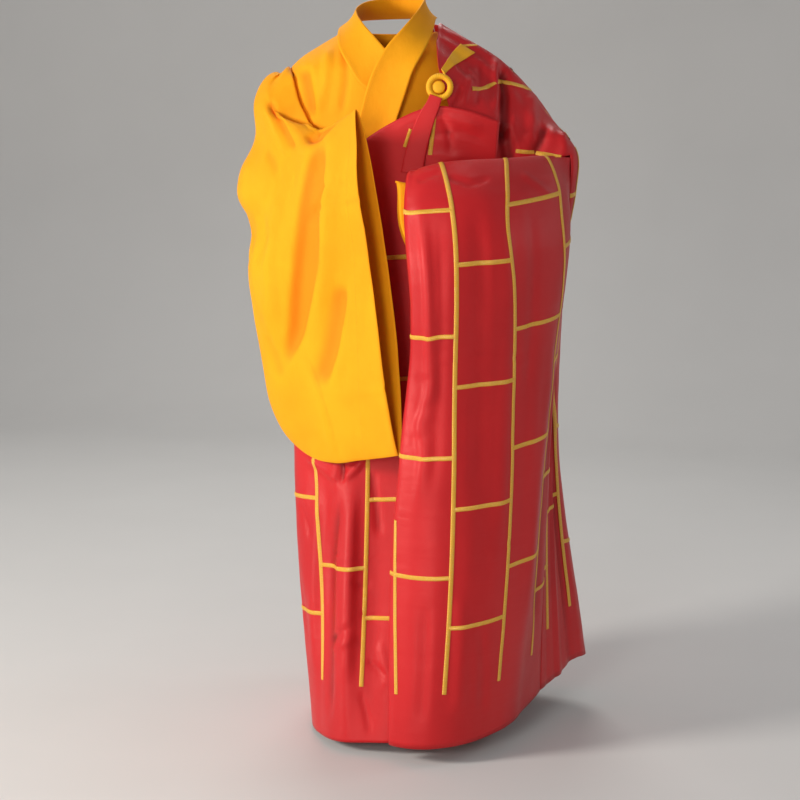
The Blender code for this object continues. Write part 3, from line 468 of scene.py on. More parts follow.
ROBE = table(
    ("height", "side", "front", "back", "front_drop"),
    (
        (-1.262, 0.118, 0.190, 0.148, 0.0),
        (-1.000, 0.134, 0.178, 0.141, 0.0),
        (-0.700, 0.152, 0.158, 0.136, 0.0),
        (-0.450, 0.166, 0.151, 0.132, 0.0),
        (-0.330, 0.178, 0.150, 0.130, 0.0),
        (-0.200, 0.192, 0.1485, 0.126, 0.0),
        (-0.120, 0.200, 0.1360, 0.116, 0.004),
        (-0.080, 0.192, 0.1289, 0.104, 0.012),
        (-0.055, 0.168, 0.1264, 0.095, 0.024),
        (-0.030, 0.128, 0.1230, 0.087, 0.040),
        (-0.008, 0.088, 0.1200, 0.080, 0.058),
    ),
)
ARMHOLE_TOP = -0.080
ARMHOLE_LOW = -0.265
ARMHOLE_HALF_ANGLE = 34.0


def robe_point(angle, height):
    """A point of the robe's body. The front of the upper rings drops towards the open neck."""
    turn = np.radians(angle)
    front = np.cos(turn) > 0
    depth = np.where(front, smooth(height, ROBE["height"], ROBE["front"]),
                     smooth(height, ROBE["height"], ROBE["back"]))
    x = -smooth(height, ROBE["height"], ROBE["side"]) * np.sin(turn)
    y = -depth * np.cos(turn)
    drop = smooth(height, ROBE["height"], ROBE["front_drop"]) * np.clip(np.cos(turn), 0, 1) ** 2
    return np.stack(np.broadcast_arrays(x, y, height - drop), axis=-1)


ROBE_LEVELS = (-1.262, -1.05, -0.80, -0.58, -0.40, -0.265, -0.200, -0.145, -0.110, -0.080, -0.058, -0.038,
               -0.020, -0.008)


OVERLAP = table(("height", "angle"),
                ((-1.262, 34.0), (-0.5, 28.0), (-0.15, 4.0), (-0.03, -6.0), (-0.008, -6.0)))


def overlap_angle(height):
    """Where the left front's edge crosses the right: near the middle at the neck, on the right low down."""
    return smooth(height, OVERLAP["height"], OVERLAP["angle"])


def armhole_loop(front, front_column, back, back_column, rows, mirrored):
    """The armhole's edge and its normals: up the front, over the top, down the back and along the bottom."""
    step = -1 if mirrored else 1
    front_end = 0 if mirrored else front.shape[1] - 1
    back_end = back.shape[1] - 1 if mirrored else 0
    top, low = rows[-1], rows[0]
    loop = [front[i, front_column] for i in rows]
    loop += [front[top, j] for j in range(front_column + step, front_end + step, step)]
    loop += [back[top, j] for j in range(back_end + step, back_column + step, step)]
    loop += [back[i, back_column] for i in reversed(rows[:-1])]
    loop += [back[low, j] for j in range(back_column - step, back_end, -step)]
    loop += [front[low, j] for j in range(front_end, front_column, -step)]
    return np.array(loop)


# The collar: a band from the right front, round the neck, to the left front that lies over it. A row is a
# station along the band, with its inner edge at the neck and its outer edge on the robe.

COLLAR = table(
    ("inner_x", "inner_y", "inner_z", "outer_x", "outer_y", "outer_z"),
    (
        (0.042, -0.130, -0.066, 0.002, -0.140, -0.122),
        (0.022, -0.122, -0.044, -0.028, -0.137, -0.098),
        (-0.004, -0.108, -0.018, -0.050, -0.126, -0.068),
        (-0.030, -0.086, 0.006, -0.070, -0.104, -0.040),
        (-0.048, -0.054, 0.024, -0.082, -0.066, -0.014),
        (-0.056, -0.015, 0.038, -0.086, -0.010, 0.004),
        (-0.044, 0.040, 0.052, -0.066, 0.062, 0.016),
        (0.004, 0.066, 0.058, 0.004, 0.090, 0.020),
        (0.050, 0.042, 0.055, 0.071, 0.060, 0.019),
        (0.066, -0.015, 0.049, 0.087, -0.010, 0.013),
        (0.064, -0.062, 0.028, 0.092, -0.070, -0.016),
        (0.046, -0.104, -0.004, 0.087, -0.118, -0.048),
        (0.018, -0.128, -0.042, 0.074, -0.142, -0.080),
        (-0.004, -0.144, -0.090, 0.062, -0.151, -0.120),
        (-0.020, -0.152, -0.150, 0.046, -0.156, -0.170),
        (-0.036, -0.157, -0.215, 0.030, -0.160, -0.230),
    ),
)


def collar_points(stations, across):
    """Points of the collar band; it bows out a little across its width."""
    knots = np.arange(len(COLLAR["inner_x"]), dtype=float)
    where = np.linspace(0, knots[-1], stations)
    inner, outer = (
        np.stack([smooth(where, knots, COLLAR[f"{edge}_{axis}"]) for axis in "xyz"], axis=-1)
        for edge in ("inner", "outer")
    )
    share = np.linspace(0, 1, across)[:, None, None]
    points = inner[None] * (1 - share) + outer[None] * share
    normals = grid_normals(points)
    return points - normals * (0.004 * np.sin(np.pi * share))


# The sleeves: rings from the armhole to the cuff. A ring hangs between an inner point, at the arm's upper
# side, and an outer point; it bulges to the front and to the back of the line between them.

SLEEVE_COLUMNS = (
    "inner_x", "inner_y", "inner_z", "outer_x", "outer_y", "outer_z",
    "front_x", "front_y", "front_z", "back_x", "back_y", "back_z",
)
RIGHT_SLEEVE = table(
    SLEEVE_COLUMNS,
    (
        (-0.168, -0.098, -0.198, -0.214, 0.004, -0.088, -0.196, -0.082, -0.098, -0.206, 0.060, -0.262),
        (-0.148, -0.122, -0.188, -0.238, -0.010, -0.112, -0.212, -0.094, -0.124, -0.222, 0.056, -0.295),
        (-0.122, -0.150, -0.176, -0.254, -0.024, -0.170, -0.214, -0.120, -0.160, -0.234, 0.040, -0.335),
        (-0.104, -0.172, -0.182, -0.270, -0.034, -0.238, -0.212, -0.142, -0.205, -0.238, 0.012, -0.372),
        (-0.092, -0.180, -0.184, -0.277, -0.042, -0.305, -0.204, -0.158, -0.250, -0.234, -0.020, -0.400),
        (-0.086, -0.188, -0.184, -0.255, -0.060, -0.392, -0.190, -0.172, -0.300, -0.220, -0.052, -0.420),
        (-0.078, -0.198, -0.182, -0.250, -0.080, -0.470, -0.180, -0.184, -0.340, -0.203, -0.080, -0.430),
        (-0.066, -0.212, -0.176, -0.222, -0.104, -0.597, -0.160, -0.202, -0.395, -0.170, -0.116, -0.440),
        (-0.052, -0.227, -0.170, -0.195, -0.130, -0.706, -0.136, -0.222, -0.440, -0.140, -0.145, -0.450),
        (-0.038, -0.242, -0.164, -0.145, -0.163, -0.765, -0.100, -0.240, -0.465, -0.092, -0.176, -0.465),
        (-0.022, -0.259, -0.157, -0.068, -0.210, -0.784, -0.052, -0.264, -0.470, -0.040, -0.206, -0.470),
        (-0.008, -0.275, -0.151, 0.004, -0.250, -0.768, -0.006, -0.285, -0.460, 0.012, -0.232, -0.460),
        (0.004, -0.290, -0.146, 0.079, -0.290, -0.750, 0.034, -0.306, -0.450, 0.058, -0.262, -0.450),
    ),
)
LEFT_SLEEVE = table(
    SLEEVE_COLUMNS,
    (
        (0.212, -0.004, -0.104, 0.208, 0.005, -0.330, 0.200, -0.072, -0.190, 0.200, 0.078, -0.190),
        (0.262, -0.045, -0.172, 0.245, -0.010, -0.430, 0.222, -0.066, -0.260, 0.282, 0.020, -0.270),
        (0.302, -0.104, -0.268, 0.284, -0.072, -0.520, 0.270, -0.092, -0.390, 0.314, -0.080, -0.390),
        (0.268, -0.202, -0.268, 0.262, -0.184, -0.640, 0.248, -0.172, -0.440, 0.280, -0.220, -0.440),
        (0.196, -0.252, -0.266, 0.212, -0.226, -0.700, 0.190, -0.212, -0.470, 0.216, -0.262, -0.470),
        (0.135, -0.272, -0.274, 0.160, -0.248, -0.710, 0.140, -0.236, -0.480, 0.156, -0.280, -0.480),
        (0.072, -0.284, -0.270, 0.150, -0.250, -0.705, 0.104, -0.244, -0.450, 0.118, -0.286, -0.450),
    ),
)
# Where the armhole's loop meets a sleeve's turns, in degrees, as places along the loop.
RIGHT_TURNS = ((0, 1.5), (100, 4), (180, 7), (232, 12), (258, 14), (292, 17), (334, 20), (360, 21.2))
LEFT_TURNS = ((0, 27), (90, 22), (180, 17), (270, 12), (360, 7))
# The right sleeve hangs clear of the body and the wrap: no nearer than these half-widths.
CLEARANCE = table(
    ("height", "side", "front"),
    (
        (-0.800, 0.203, 0.226),
        (-0.450, 0.210, 0.198),
        (-0.330, 0.213, 0.192),
        (-0.260, 0.206, 0.158),
        (-0.120, 0.212, 0.142),
        (-0.080, 0.202, 0.134),
    ),
)
RIGHT_SLEEVE_FOLDS = (
    (70.0, 0.0, 34.0, -0.020, 1.5, 7.0),
    (124.0, 0.0, 20.0, 0.006, 2.5, 8.0),
    (36.0, 0.0, 18.0, 0.010, 3.0, 10.0),
    (96.0, 0.0, 34.0, -0.014, 7.0, 12.5),
    (56.0, 0.0, 22.0, 0.010, 8.0, 13.0),
)


def clear_of_body(points):
    """The points moved out, level, to where they clear the body and the wrap."""
    side = smooth(points[..., 2], CLEARANCE["height"], CLEARANCE["side"])
    front = smooth(points[..., 2], CLEARANCE["height"], CLEARANCE["front"])
    reach = np.sqrt((points[..., 0] / side) ** 2 + (points[..., 1] / front) ** 2)
    out = np.maximum(1 / np.maximum(reach, 1e-6), 1)
    return points * np.stack([out, out, np.ones_like(out)], axis=-1)


# How far a sleeve's first ring stands off the robe
SLEEVE_STANDS_OFF = SEAM_GAP + 0.0016


def loop_places(loop, place):
    """Points and normals of the armhole's loop, at whole steps along it or between them."""
    i = place.astype(int)
    share = (place - i)[:, None]
    spots = loop[i] * (1 - share) + loop[(i + 1) % len(loop)] * share
    return spots[:, :3], unit(spots[:, 3:])


def sleeve_points(rings, loop, turns, ring_count, around, folds):
    """Rings of a sleeve. The first stands just off the armhole's loop."""
    knots = np.arange(len(rings["inner_x"]), dtype=float)
    where = np.linspace(0, knots[-1], ring_count)
    inner, outer, front, back = (
        np.stack([smooth(where, knots, rings[f"{part}_{axis}"]) for axis in "xyz"], axis=-1)
        for part in ("inner", "outer", "front", "back")
    )
    middle = ((inner + outer) / 2)[:, None]
    degrees = np.arange(around) * 360 / around
    turn = np.radians(degrees)
    cosine, sine = np.cos(turn)[None, :, None], np.sin(turn)[None, :, None]
    bulge = np.where(sine > 0, (front[:, None] - middle) * sine, (middle - back[:, None]) * sine)
    points = middle + (inner[:, None] - middle) * cosine + bulge
    down = where[:, None] + 0 * points[..., 0]
    across = degrees[None, :] + 0 * down
    points = folded(points, folds, across, down, closed=True)
    spots, outs = loop_places(loop, np.interp(degrees, *np.array(turns, float).T) % len(loop))
    first = spots + outs * SLEEVE_STANDS_OFF
    sideways = np.array([np.sign(spots[0, 0]) * 2.0, 0, 0])
    second = spots + unit(outs + sideways) * 0.013
    points[0] = points[0] * 0.45 + (second + sideways * 0.008) * 0.55
    return np.concatenate([first[None], second[None], points])


# The mantle: posts are drop lines of the cloth, each at its place along the cloth in strips. The forearm part
# runs from its fold near strip 0 to the elbow; the side part on to the left of the back; the wrap round the
# back and the right side to the free end on the chest.

ELBOW_STRIP = 3.6
BACK_STRIP = 6.85

WRAP_LEVELS = ("top", "upper", "high", "mid", "hem")
HIGH_HEIGHT = -0.450
MID_HEIGHT = -0.800
WRAP = table(
    ("strip", "top_x", "top_y", "top_z", "upper_x", "upper_y", "high_x", "high_y", "mid_x", "mid_y",
     "hem_x", "hem_y", "hem_z"),
    (
        (6.85, 0.066, 0.079, 0.010, 0.104, 0.126, 0.116, 0.138, 0.122, 0.148, 0.128, 0.164, -1.290),
        (7.45, 0.034, 0.094, -0.012, 0.050, 0.140, 0.054, 0.150, 0.058, 0.157, 0.062, 0.174, -1.297),
        (8.15, -0.034, 0.120, -0.075, -0.034, 0.143, -0.030, 0.151, -0.028, 0.159, -0.022, 0.177, -1.304),
        (8.95, -0.112, 0.126, -0.185, -0.114, 0.129, -0.112, 0.135, -0.108, 0.143, -0.096, 0.154, -1.310),
        (9.75, -0.174, 0.080, -0.300, -0.174, 0.083, -0.168, 0.087, -0.156, 0.092, -0.128, 0.097, -1.315),
        (10.45, -0.196, 0.004, -0.362, -0.195, 0.004, -0.190, 0.004, -0.175, 0.003, -0.138, 0.000, -1.318),
        (11.15, -0.18, -0.07, -0.345, -0.18, -0.072, -0.178, -0.075, -0.164, -0.086, -0.131, -0.104, -1.317),
        (11.85, -0.128, -0.128, -0.295, -0.128, -0.131, -0.128, -0.137, -0.119, -0.16, -0.098, -0.19, -1.312),
        (12.55, -0.052, -0.158, -0.232, -0.05, -0.166, -0.048, -0.172, -0.044, -0.2, -0.045, -0.248, -1.304),
        (13.25, 0.030, -0.168, -0.176, 0.030, -0.176, 0.030, -0.182, 0.030, -0.209, 0.022, -0.262, -1.297),
        (13.95, 0.112, -0.166, -0.142, 0.108, -0.170, 0.106, -0.177, 0.104, -0.204, 0.096, -0.256, -1.292),
        (14.55, 0.172, -0.158, -0.148, 0.164, -0.158, 0.160, -0.164, 0.162, -0.190, 0.166, -0.238, -1.288),
        (15.15, 0.230, -0.140, -0.168, 0.220, -0.140, 0.212, -0.148, 0.216, -0.170, 0.234, -0.204, -1.284),
    ),
)
# Across is in strips and down is in metres of height; a fold leans by so many strips to the metre.
WRAP_FOLDS = (
    (13.2, 0.6, 0.55, 0.010, -1.34, -0.74),
    (12.6, -0.5, 0.45, -0.012, -1.34, -0.62),
    (12.1, 0.8, 0.50, 0.012, -1.34, -0.70),
    (11.5, -0.4, 0.50, -0.010, -1.36, -0.50),
    (10.8, 0.5, 0.60, 0.012, -1.38, -0.50),
    (10.0, -0.5, 0.60, -0.014, -1.40, -0.45),
    (9.3, 0.4, 0.60, 0.013, -1.40, -0.35),
    (8.6, -0.3, 0.60, -0.013, -1.40, -0.30),
    (7.9, 0.4, 0.55, 0.010, -1.40, -0.25),
)


def post_heights(rows, strips):
    """Each post's knots: its hem, the middle and high levels, half way from there to its top, and its top."""
    top = smooth(strips, rows["strip"], rows["top_z"])
    hem = smooth(strips, rows["strip"], rows["hem_z"])
    return np.array([hem, MID_HEIGHT + 0 * top, HIGH_HEIGHT + 0 * top, (HIGH_HEIGHT + top) / 2, top])


def wrap_grid(strips, rows):
    """The wrap's points: columns at the strips, which rise from the back, and rows from hem to top edge."""
    knots = post_heights(WRAP, strips)
    share = np.linspace(0, 1, rows)
    height = knots[0] + (knots[-1] - knots[0]) * share[:, None]
    points = np.zeros((rows, len(strips), 3))
    for axis, letter in enumerate("xy"):
        known = [smooth(strips, WRAP["strip"], WRAP[f"{level}_{letter}"]) for level in reversed(WRAP_LEVELS)]
        for j in range(len(strips)):
            points[:, j, axis] = smooth(height[:, j], knots[:, j], np.array([level[j] for level in known]))
    points[..., 2] = height
    across = strips[None, :] + 0 * height
    return folded(points[:, ::-1], WRAP_FOLDS, across[:, ::-1], height[:, ::-1])[:, ::-1]


SIDE_LEVELS = ("neck", "top", "arm", "elbow", "high", "mid", "hem")
SIDE_SHARES = np.array([0.0, 0.11, 0.22, 0.33, 0.45, 0.72, 1.0])
SIDE = table(
    ("strip", "neck_x", "neck_y", "neck_z", "top_x", "top_y", "top_z", "arm_x", "arm_y", "arm_z",
     "elbow_x", "elbow_y", "elbow_z", "high_x", "high_y", "mid_x", "mid_y", "hem_x", "hem_y", "hem_z"),
    (
        (6.35, 0.084, 0.056, 0.006, 0.136, 0.086, -0.050, 0.190, 0.116, -0.165, 0.226, 0.132, -0.300,
         0.238, 0.138, 0.236, 0.142, 0.230, 0.170, -1.272),
        (5.85, 0.093, 0.018, 0.008, 0.168, 0.050, -0.050, 0.250, 0.078, -0.156, 0.302, 0.096, -0.290,
         0.302, 0.104, 0.294, 0.110, 0.318, 0.156, -1.246),
        (5.40, 0.095, -0.006, 0.007, 0.190, 0.016, -0.052, 0.282, 0.026, -0.150, 0.334, 0.040, -0.275,
         0.325, 0.050, 0.314, 0.066, 0.368, 0.120, -1.226),
        (5.00, 0.096, -0.022, 0.003, 0.200, -0.012, -0.058, 0.290, -0.014, -0.150, 0.346, -0.008, -0.252,
         0.328, 0.000, 0.313, 0.026, 0.356, 0.080, -1.222),
        (4.40, 0.098, -0.040, -0.004, 0.202, -0.034, -0.064, 0.291, -0.046, -0.158, 0.352, -0.046, -0.236,
         0.330, -0.044, 0.312, -0.024, 0.332, 0.020, -1.236),
        (3.60, 0.103, -0.060, -0.016, 0.197, -0.062, -0.075, 0.286, -0.080, -0.170, 0.350, -0.096, -0.228,
         0.331, -0.096, 0.315, -0.080, 0.303, -0.044, -1.250),
        (3.00, 0.104, -0.081, -0.029, 0.178, -0.096, -0.089, 0.252, -0.114, -0.182, 0.260, -0.120, -0.262,
         0.312, -0.112, 0.300, -0.100, 0.290, -0.060, -1.250),
        (2.40, 0.110, -0.108, -0.051, 0.156, -0.127, -0.105, 0.202, -0.139, -0.191, 0.216, -0.136, -0.278,
         0.270, -0.112, 0.270, -0.100, 0.280, -0.060, -1.250),
        (1.80, 0.117, -0.132, -0.074, 0.133, -0.150, -0.117, 0.157, -0.152, -0.200, 0.176, -0.142, -0.285,
         0.240, -0.100, 0.250, -0.090, 0.270, -0.060, -1.250),
    ),
)
SIDE_FOLDS = (
    (4.6, 0.0, 0.60, -0.008, -0.06, 0.30),
    (3.2, 0.0, 0.55, 0.008, -0.02, 0.26),
    (6.2, 0.0, 0.45, 0.010, 0.20, 1.20),
    (5.2, 0.6, 0.50, -0.008, 0.40, 1.20),
)


def side_grid(strips, shares):
    """The side's points: columns at falling strips, rows at the shares of the drop from the neck edge. The
    first column is the wrap's own edge, moved out by the seam gap."""
    grids = []
    for axis, letter in enumerate("xyz"):
        flat = {"high_z": HIGH_HEIGHT, "mid_z": MID_HEIGHT}
        known = []
        for level in SIDE_LEVELS:
            name = f"{level}_{letter}"
            values = SIDE[name] if name in SIDE else np.full(len(SIDE["strip"]), flat.get(name, 0.0))
            known.append(smooth(strips, SIDE["strip"][::-1], values[::-1]))
        known = np.array(known)
        grids.append(np.stack([smooth(shares, SIDE_SHARES, known[:, j]) for j in range(len(strips))], axis=1))
    points = np.stack(grids, axis=-1)
    knots = post_heights(WRAP, np.array([BACK_STRIP]))[:, 0]
    drops = smooth(shares, SIDE_SHARES, np.array([0.010, -0.055, -0.165, -0.300, -0.450, -0.800, -1.290]))
    edge = [smooth(drops, knots, np.array([WRAP[f"{level}_{letter}"][0] for level in reversed(WRAP_LEVELS)]))
            for letter in "xy"]
    seam = np.stack([edge[0] + SEAM_GAP + 0.0008, edge[1], drops], axis=-1)
    near = ramp(strips, 6.35, BACK_STRIP)[None, :, None]
    points = points * (1 - near) + seam[:, None] * near
    across = strips[None, :] + 0 * points[..., 0]
    down = shares[:, None] + 0 * points[..., 0]
    return folded(points[::-1], SIDE_FOLDS, across[::-1], down[::-1])[::-1]


# The forearm part: its tucked edge behind the forearm, the crest over it, the front just below, and the drop.

DRAPE = table(
    ("strip", "tuck_x", "tuck_y", "tuck_z", "crest_x", "crest_y", "crest_z", "front_x", "front_y", "front_z",
     "mid_x", "mid_y", "low_x", "low_y", "hem_x", "hem_y", "hem_z"),
    (
        (-0.55, 0.128, -0.262, -0.330, 0.140, -0.306, -0.330, 0.148, -0.312, -0.350, 0.140, -0.292,
         0.112, -0.276, 0.106, -0.274, -1.284),
        (-0.15, 0.110, -0.262, -0.330, 0.110, -0.310, -0.318, 0.112, -0.316, -0.340, 0.106, -0.292,
         0.074, -0.274, 0.070, -0.273, -1.287),
        (0.10, 0.106, -0.242, -0.318, 0.093, -0.296, -0.262, 0.092, -0.327, -0.304, 0.089, -0.303,
         0.062, -0.284, 0.058, -0.282, -1.289),
        (0.40, 0.112, -0.238, -0.318, 0.106, -0.294, -0.252, 0.104, -0.338, -0.296, 0.100, -0.318,
         0.084, -0.298, 0.080, -0.292, -1.290),
        (1.00, 0.132, -0.222, -0.310, 0.152, -0.282, -0.238, 0.172, -0.328, -0.276, 0.184, -0.322,
         0.176, -0.304, 0.156, -0.290, -1.286),
        (2.00, 0.206, -0.170, -0.305, 0.246, -0.226, -0.232, 0.272, -0.262, -0.268, 0.278, -0.252,
         0.266, -0.236, 0.242, -0.216, -1.278),
        (3.00, 0.268, -0.130, -0.268, 0.318, -0.150, -0.230, 0.341, -0.162, -0.262, 0.327, -0.144,
         0.310, -0.128, 0.288, -0.104, -1.262),
        (3.60, 0.332, -0.112, -0.270, 0.349, -0.098, -0.232, 0.350, -0.0985, -0.262, 0.328, -0.0835,
         0.316, -0.066, 0.305, -0.046, -1.250),
    ),
)
DRAPE_KNOTS = np.array([-0.11, 0.0, 0.05, 0.42, 0.72, 1.0])
DRAPE_MID_HEIGHT = -0.660
DRAPE_LOW_HEIGHT = -0.980
DRAPE_FOLDS = (
    (0.75, 0.0, 0.35, 0.007, 0.10, 1.20),
    (1.35, 0.4, 0.30, -0.006, 0.02, 0.80),
    (2.55, -0.3, 0.40, 0.007, 0.00, 1.20),
)


def drape_grid(strips, downs, side_edge):
    """The forearm part's points: rows from the tucked edge, over the crest at 0, to the hem at 1. Its last
    column follows the side part's edge."""
    knots = DRAPE["strip"]
    read = {name: smooth(strips, knots, DRAPE[name]) for name in DRAPE}
    read["mid_z"] = np.full(len(strips), DRAPE_MID_HEIGHT)
    read["low_z"] = np.full(len(strips), DRAPE_LOW_HEIGHT)
    lines = [np.stack([read[f"{level}_{axis}"] for axis in "xyz"], axis=-1)
             for level in ("tuck", "crest", "front", "mid", "low", "hem")]
    flat = np.array(lines).reshape(6, -1)
    points = np.stack([smooth(downs, DRAPE_KNOTS, flat[:, k]) for k in range(flat.shape[1])], axis=-1)
    points = points.reshape(len(downs), len(strips), 3)
    across = strips[None, :] + 0 * points[..., 0]
    down = downs[:, None] + 0 * points[..., 0]
    points = folded(points[::-1], DRAPE_FOLDS, across[::-1], down[::-1])[::-1]
    low = downs > -0.001
    heights = points[low, -1, 2]
    edge = [np.interp(-heights, -side_edge[:, 2], side_edge[:, axis]) for axis in (0, 1)]
    points[low, -1, 0], points[low, -1, 1] = edge[0], edge[1] - 0.0016
    return points


def read_grid(points, row, column):
    """A point of the part's facets, at a row and a column that need not be whole."""
    i = int(min(max(math.floor(row), 0), points.shape[0] - 2))
    j = int(min(max(math.floor(column), 0), points.shape[1] - 2))
    a, b = row - i, column - j
    low = points[i, j] * (1 - b) + points[i, j + 1] * b
    high = points[i + 1, j] * (1 - b) + points[i + 1, j + 1] * b
    return low * (1 - a) + high * a


def block_lines(strip):
    """The heights above the hem of the cross lines between this line and the next: odd strips start with the
    short block."""
    first = BORDER + (SHORT_BLOCK if strip % 2 == 1 else LONG_BLOCK)
    return [first + LONG_BLOCK * k for k in range(4)] + [MANTLE_HEIGHT - BORDER]


WRAP_STRIPS = np.linspace(BACK_STRIP, 15.15, 35)
SIDE_STRIPS = np.array([6.85, 6.60, 6.35, 6.10, 5.85, 5.60, 5.40, 5.20, 5.00, 4.70, 4.40, 4.00, 3.60, 3.30,
                        3.00, 2.70, 2.40, 2.10, 1.80])
DRAPE_STRIPS = np.array([-0.55, -0.35, -0.15, -0.02, 0.10, 0.25, 0.40, 0.60, 0.80, 1.00, 1.25, 1.50, 1.75,
                         2.00, 2.25, 2.50, 2.75, 3.00, 3.20, 3.40, 3.60])
SIDE_SHARE_ROWS = np.array([0.0, 0.05, 0.11, 0.165, 0.22, 0.275, 0.33, 0.37, 0.41, 0.47, 0.55, 0.64, 0.73,
                            0.82, 0.91, 1.0])
ELBOW_ROW = 6
DRAPE_DOWNS = np.array([-0.11, -0.075, -0.045, -0.02, 0.0, 0.025, 0.05, 0.09, 0.16, 0.25, 0.34, 0.43, 0.52,
                        0.61, 0.70, 0.80, 0.90, 1.0])


# The clasp: a ring and hook at the left of the chest, a flared strap up over the shoulder, and a tab down
# over the wrap. Each of the tab's rows is a station: its middle, its width, and the way its face looks.

RING_CENTRE = np.array([0.1250, -0.1585, -0.1080])
RING_RADIUS = 0.0190
RING_WIRE = 0.0056
HOOK_RADIUS = 0.0112
CLASP_FACING = np.array([0.18, -0.97, 0.16])

# The shoulder strap starts at the ring and lies on the side part. A row is a station: a place on that part's
# grid and a width.
SHOULDER_STRAP = table(
    ("row", "column", "width"),
    (
        (0.85, 17.4, 0.0130),
        (0.95, 16.2, 0.0140),
        (1.03, 14.8, 0.0185),
        (1.07, 12.9, 0.0260),
        (1.15, 11.2, 0.0310),
    ),
)
STRAP_END = np.array([0.1332, -0.1460, -0.0856])
STRAP_END_WIDTH = 0.0115
TAB = table(
    ("x", "y", "z", "width", "face_x", "face_y", "face_z"),
    (
        (0.1210, -0.1697, -0.1240, 0.0230, 0.10, -0.98, 0.10),
        (0.1150, -0.1708, -0.1400, 0.0250, 0.08, -0.99, 0.06),
        (0.1060, -0.1722, -0.1580, 0.0300, 0.05, -1.00, 0.02),
        (0.0960, -0.1740, -0.1850, 0.0340, 0.05, -1.00, 0.02),
        (0.0860, -0.1768, -0.2200, 0.0370, 0.05, -1.00, 0.03),
        (0.0790, -0.1800, -0.2600, 0.0390, 0.05, -1.00, 0.03),
    ),
)
SHARES_ACROSS = (-0.5, -0.17, 0.17, 0.5)


def tab_points(stations):
    """The tab's points: a row for each station, with a slightly raised middle."""
    knots = np.arange(len(TAB["x"]), dtype=float)
    where = np.linspace(0, knots[-1], stations)
    read = {name: smooth(where, knots, TAB[name]) for name in TAB}
    middle = np.stack([read["x"], read["y"], read["z"]], axis=-1)
    face = unit(np.stack([read["face_x"], read["face_y"], read["face_z"]], axis=-1))
    across = unit(np.cross(np.gradient(middle, axis=0), face))
    share = np.array(SHARES_ACROSS)
    lift = 0.0010 * (1 - (2 * share) ** 2)
    return (middle[:, None] + across[:, None] * (share[None, :, None] * read["width"][:, None, None])
            + face[:, None] * lift[None, :, None])


# Fine cloth from the sections

def finer_rows(grid, knots, pieces):
    """The grid's rows with each interval cut into so many pieces, on smooth curves."""
    fine = finer(knots, pieces)
    slope = np.gradient(grid, knots, axis=0)
    i = np.clip(np.searchsorted(knots, fine, side="right") - 1, 0, len(knots) - 2)
    span = (knots[i + 1] - knots[i])[:, None, None]
    a, b, c, d = blend((fine - knots[i])[:, None, None] / span)
    return a * grid[i] + b * span * slope[i] + c * grid[i + 1] + d * span * slope[i + 1]


def refined(points, row_pieces, column_pieces, rows=None, columns=None, closed=False):
    """The sections' grid made fine: a smooth surface through its points."""
    rows = np.arange(points.shape[0], dtype=float) if rows is None else np.asarray(rows, float)
    if closed:
        count = points.shape[1]
        padded = np.concatenate([points[:, -2:], points, points[:, :3]], axis=1)
        fine = finer_rows(np.swapaxes(padded, 0, 1), np.arange(count + 5, dtype=float), column_pieces)
        points = np.swapaxes(fine[2 * column_pieces:(count + 2) * column_pieces], 0, 1)
    else:
        columns = np.arange(points.shape[1], dtype=float) if columns is None else np.asarray(columns, float)
        points = np.swapaxes(finer_rows(np.swapaxes(points, 0, 1), columns, column_pieces), 0, 1)
    return finer_rows(points, rows, row_pieces)


def hem_fold(distance, width):
    """A turned hem stands a little proud of the cloth beside it."""
    return 0.0007 * (1 - ramp(distance, width, width + 0.003))


# The robe's body

BODY_CREASES = (
    (5.0, 7, 9, (330, 44), (326, 80), (319, 116)),
    (-7.0, 9, 8, (303, 66), (308, 92), (314, 118)),
    (-4.0, 6, 6, (345, 40), (346, 80), (340, 118)),
    (3.0, 5, 6, (314, 60), (317, 90), (320, 118)),
)
ROBE_PIECES = 6
ARMHOLE_LEVEL = ROBE_LEVELS.index(-0.110)
# Half of the gap between two panels, in degrees
PANEL_GAP = 0.12


def robe_panel(name, from_edge, to_edge, columns, hole_at_start=False, hole_at_end=False):
    """A panel of the body between two edges; returns its sections with their normals, for the armholes."""
    levels = finer(ROBE_LEVELS, ROBE_PIECES)
    starts, ends = from_edge(levels), to_edge(levels)
    share = np.linspace(0, 1, (columns - 1) * ROBE_PIECES + 1)
    angle = starts[:, None] + (ends - starts)[:, None] * share[None, :]
    points = robe_point(angle, levels[:, None] + 0 * angle)
    coarse = points[::ROBE_PIECES, ::ROBE_PIECES]
    column_angle = abs((ends - starts)[ARMHOLE_LEVEL * ROBE_PIECES] / (columns - 1))
    hole_columns = round(ARMHOLE_HALF_ANGLE / column_angle)

    def keep(i, j):
        i, j = i // ROBE_PIECES, j // ROBE_PIECES
        in_rows = ROBE_LEVELS[i] > ARMHOLE_LOW - 0.001 and ROBE_LEVELS[i + 1] < ARMHOLE_TOP + 0.001
        at_start = hole_at_start and j < hole_columns
        at_end = hole_at_end and j >= columns - 1 - hole_columns
        return not (in_rows and (at_start or at_end))

    outside = points[:, ::-1]
    outside = outside + grid_normals(outside) * ROBE_WALL
    shown, height = pressed(outside, BODY_CREASES, seed=1, fine=0.0006, coarse=0.0008)
    last = points.shape[1] - 2
    cloth_piece(name, shown, COTTON, ROBE_CLOTH, keep=lambda i, j: keep(i, last - j), height=height)
    return np.concatenate([coarse, grid_normals(coarse)], axis=-1), hole_columns


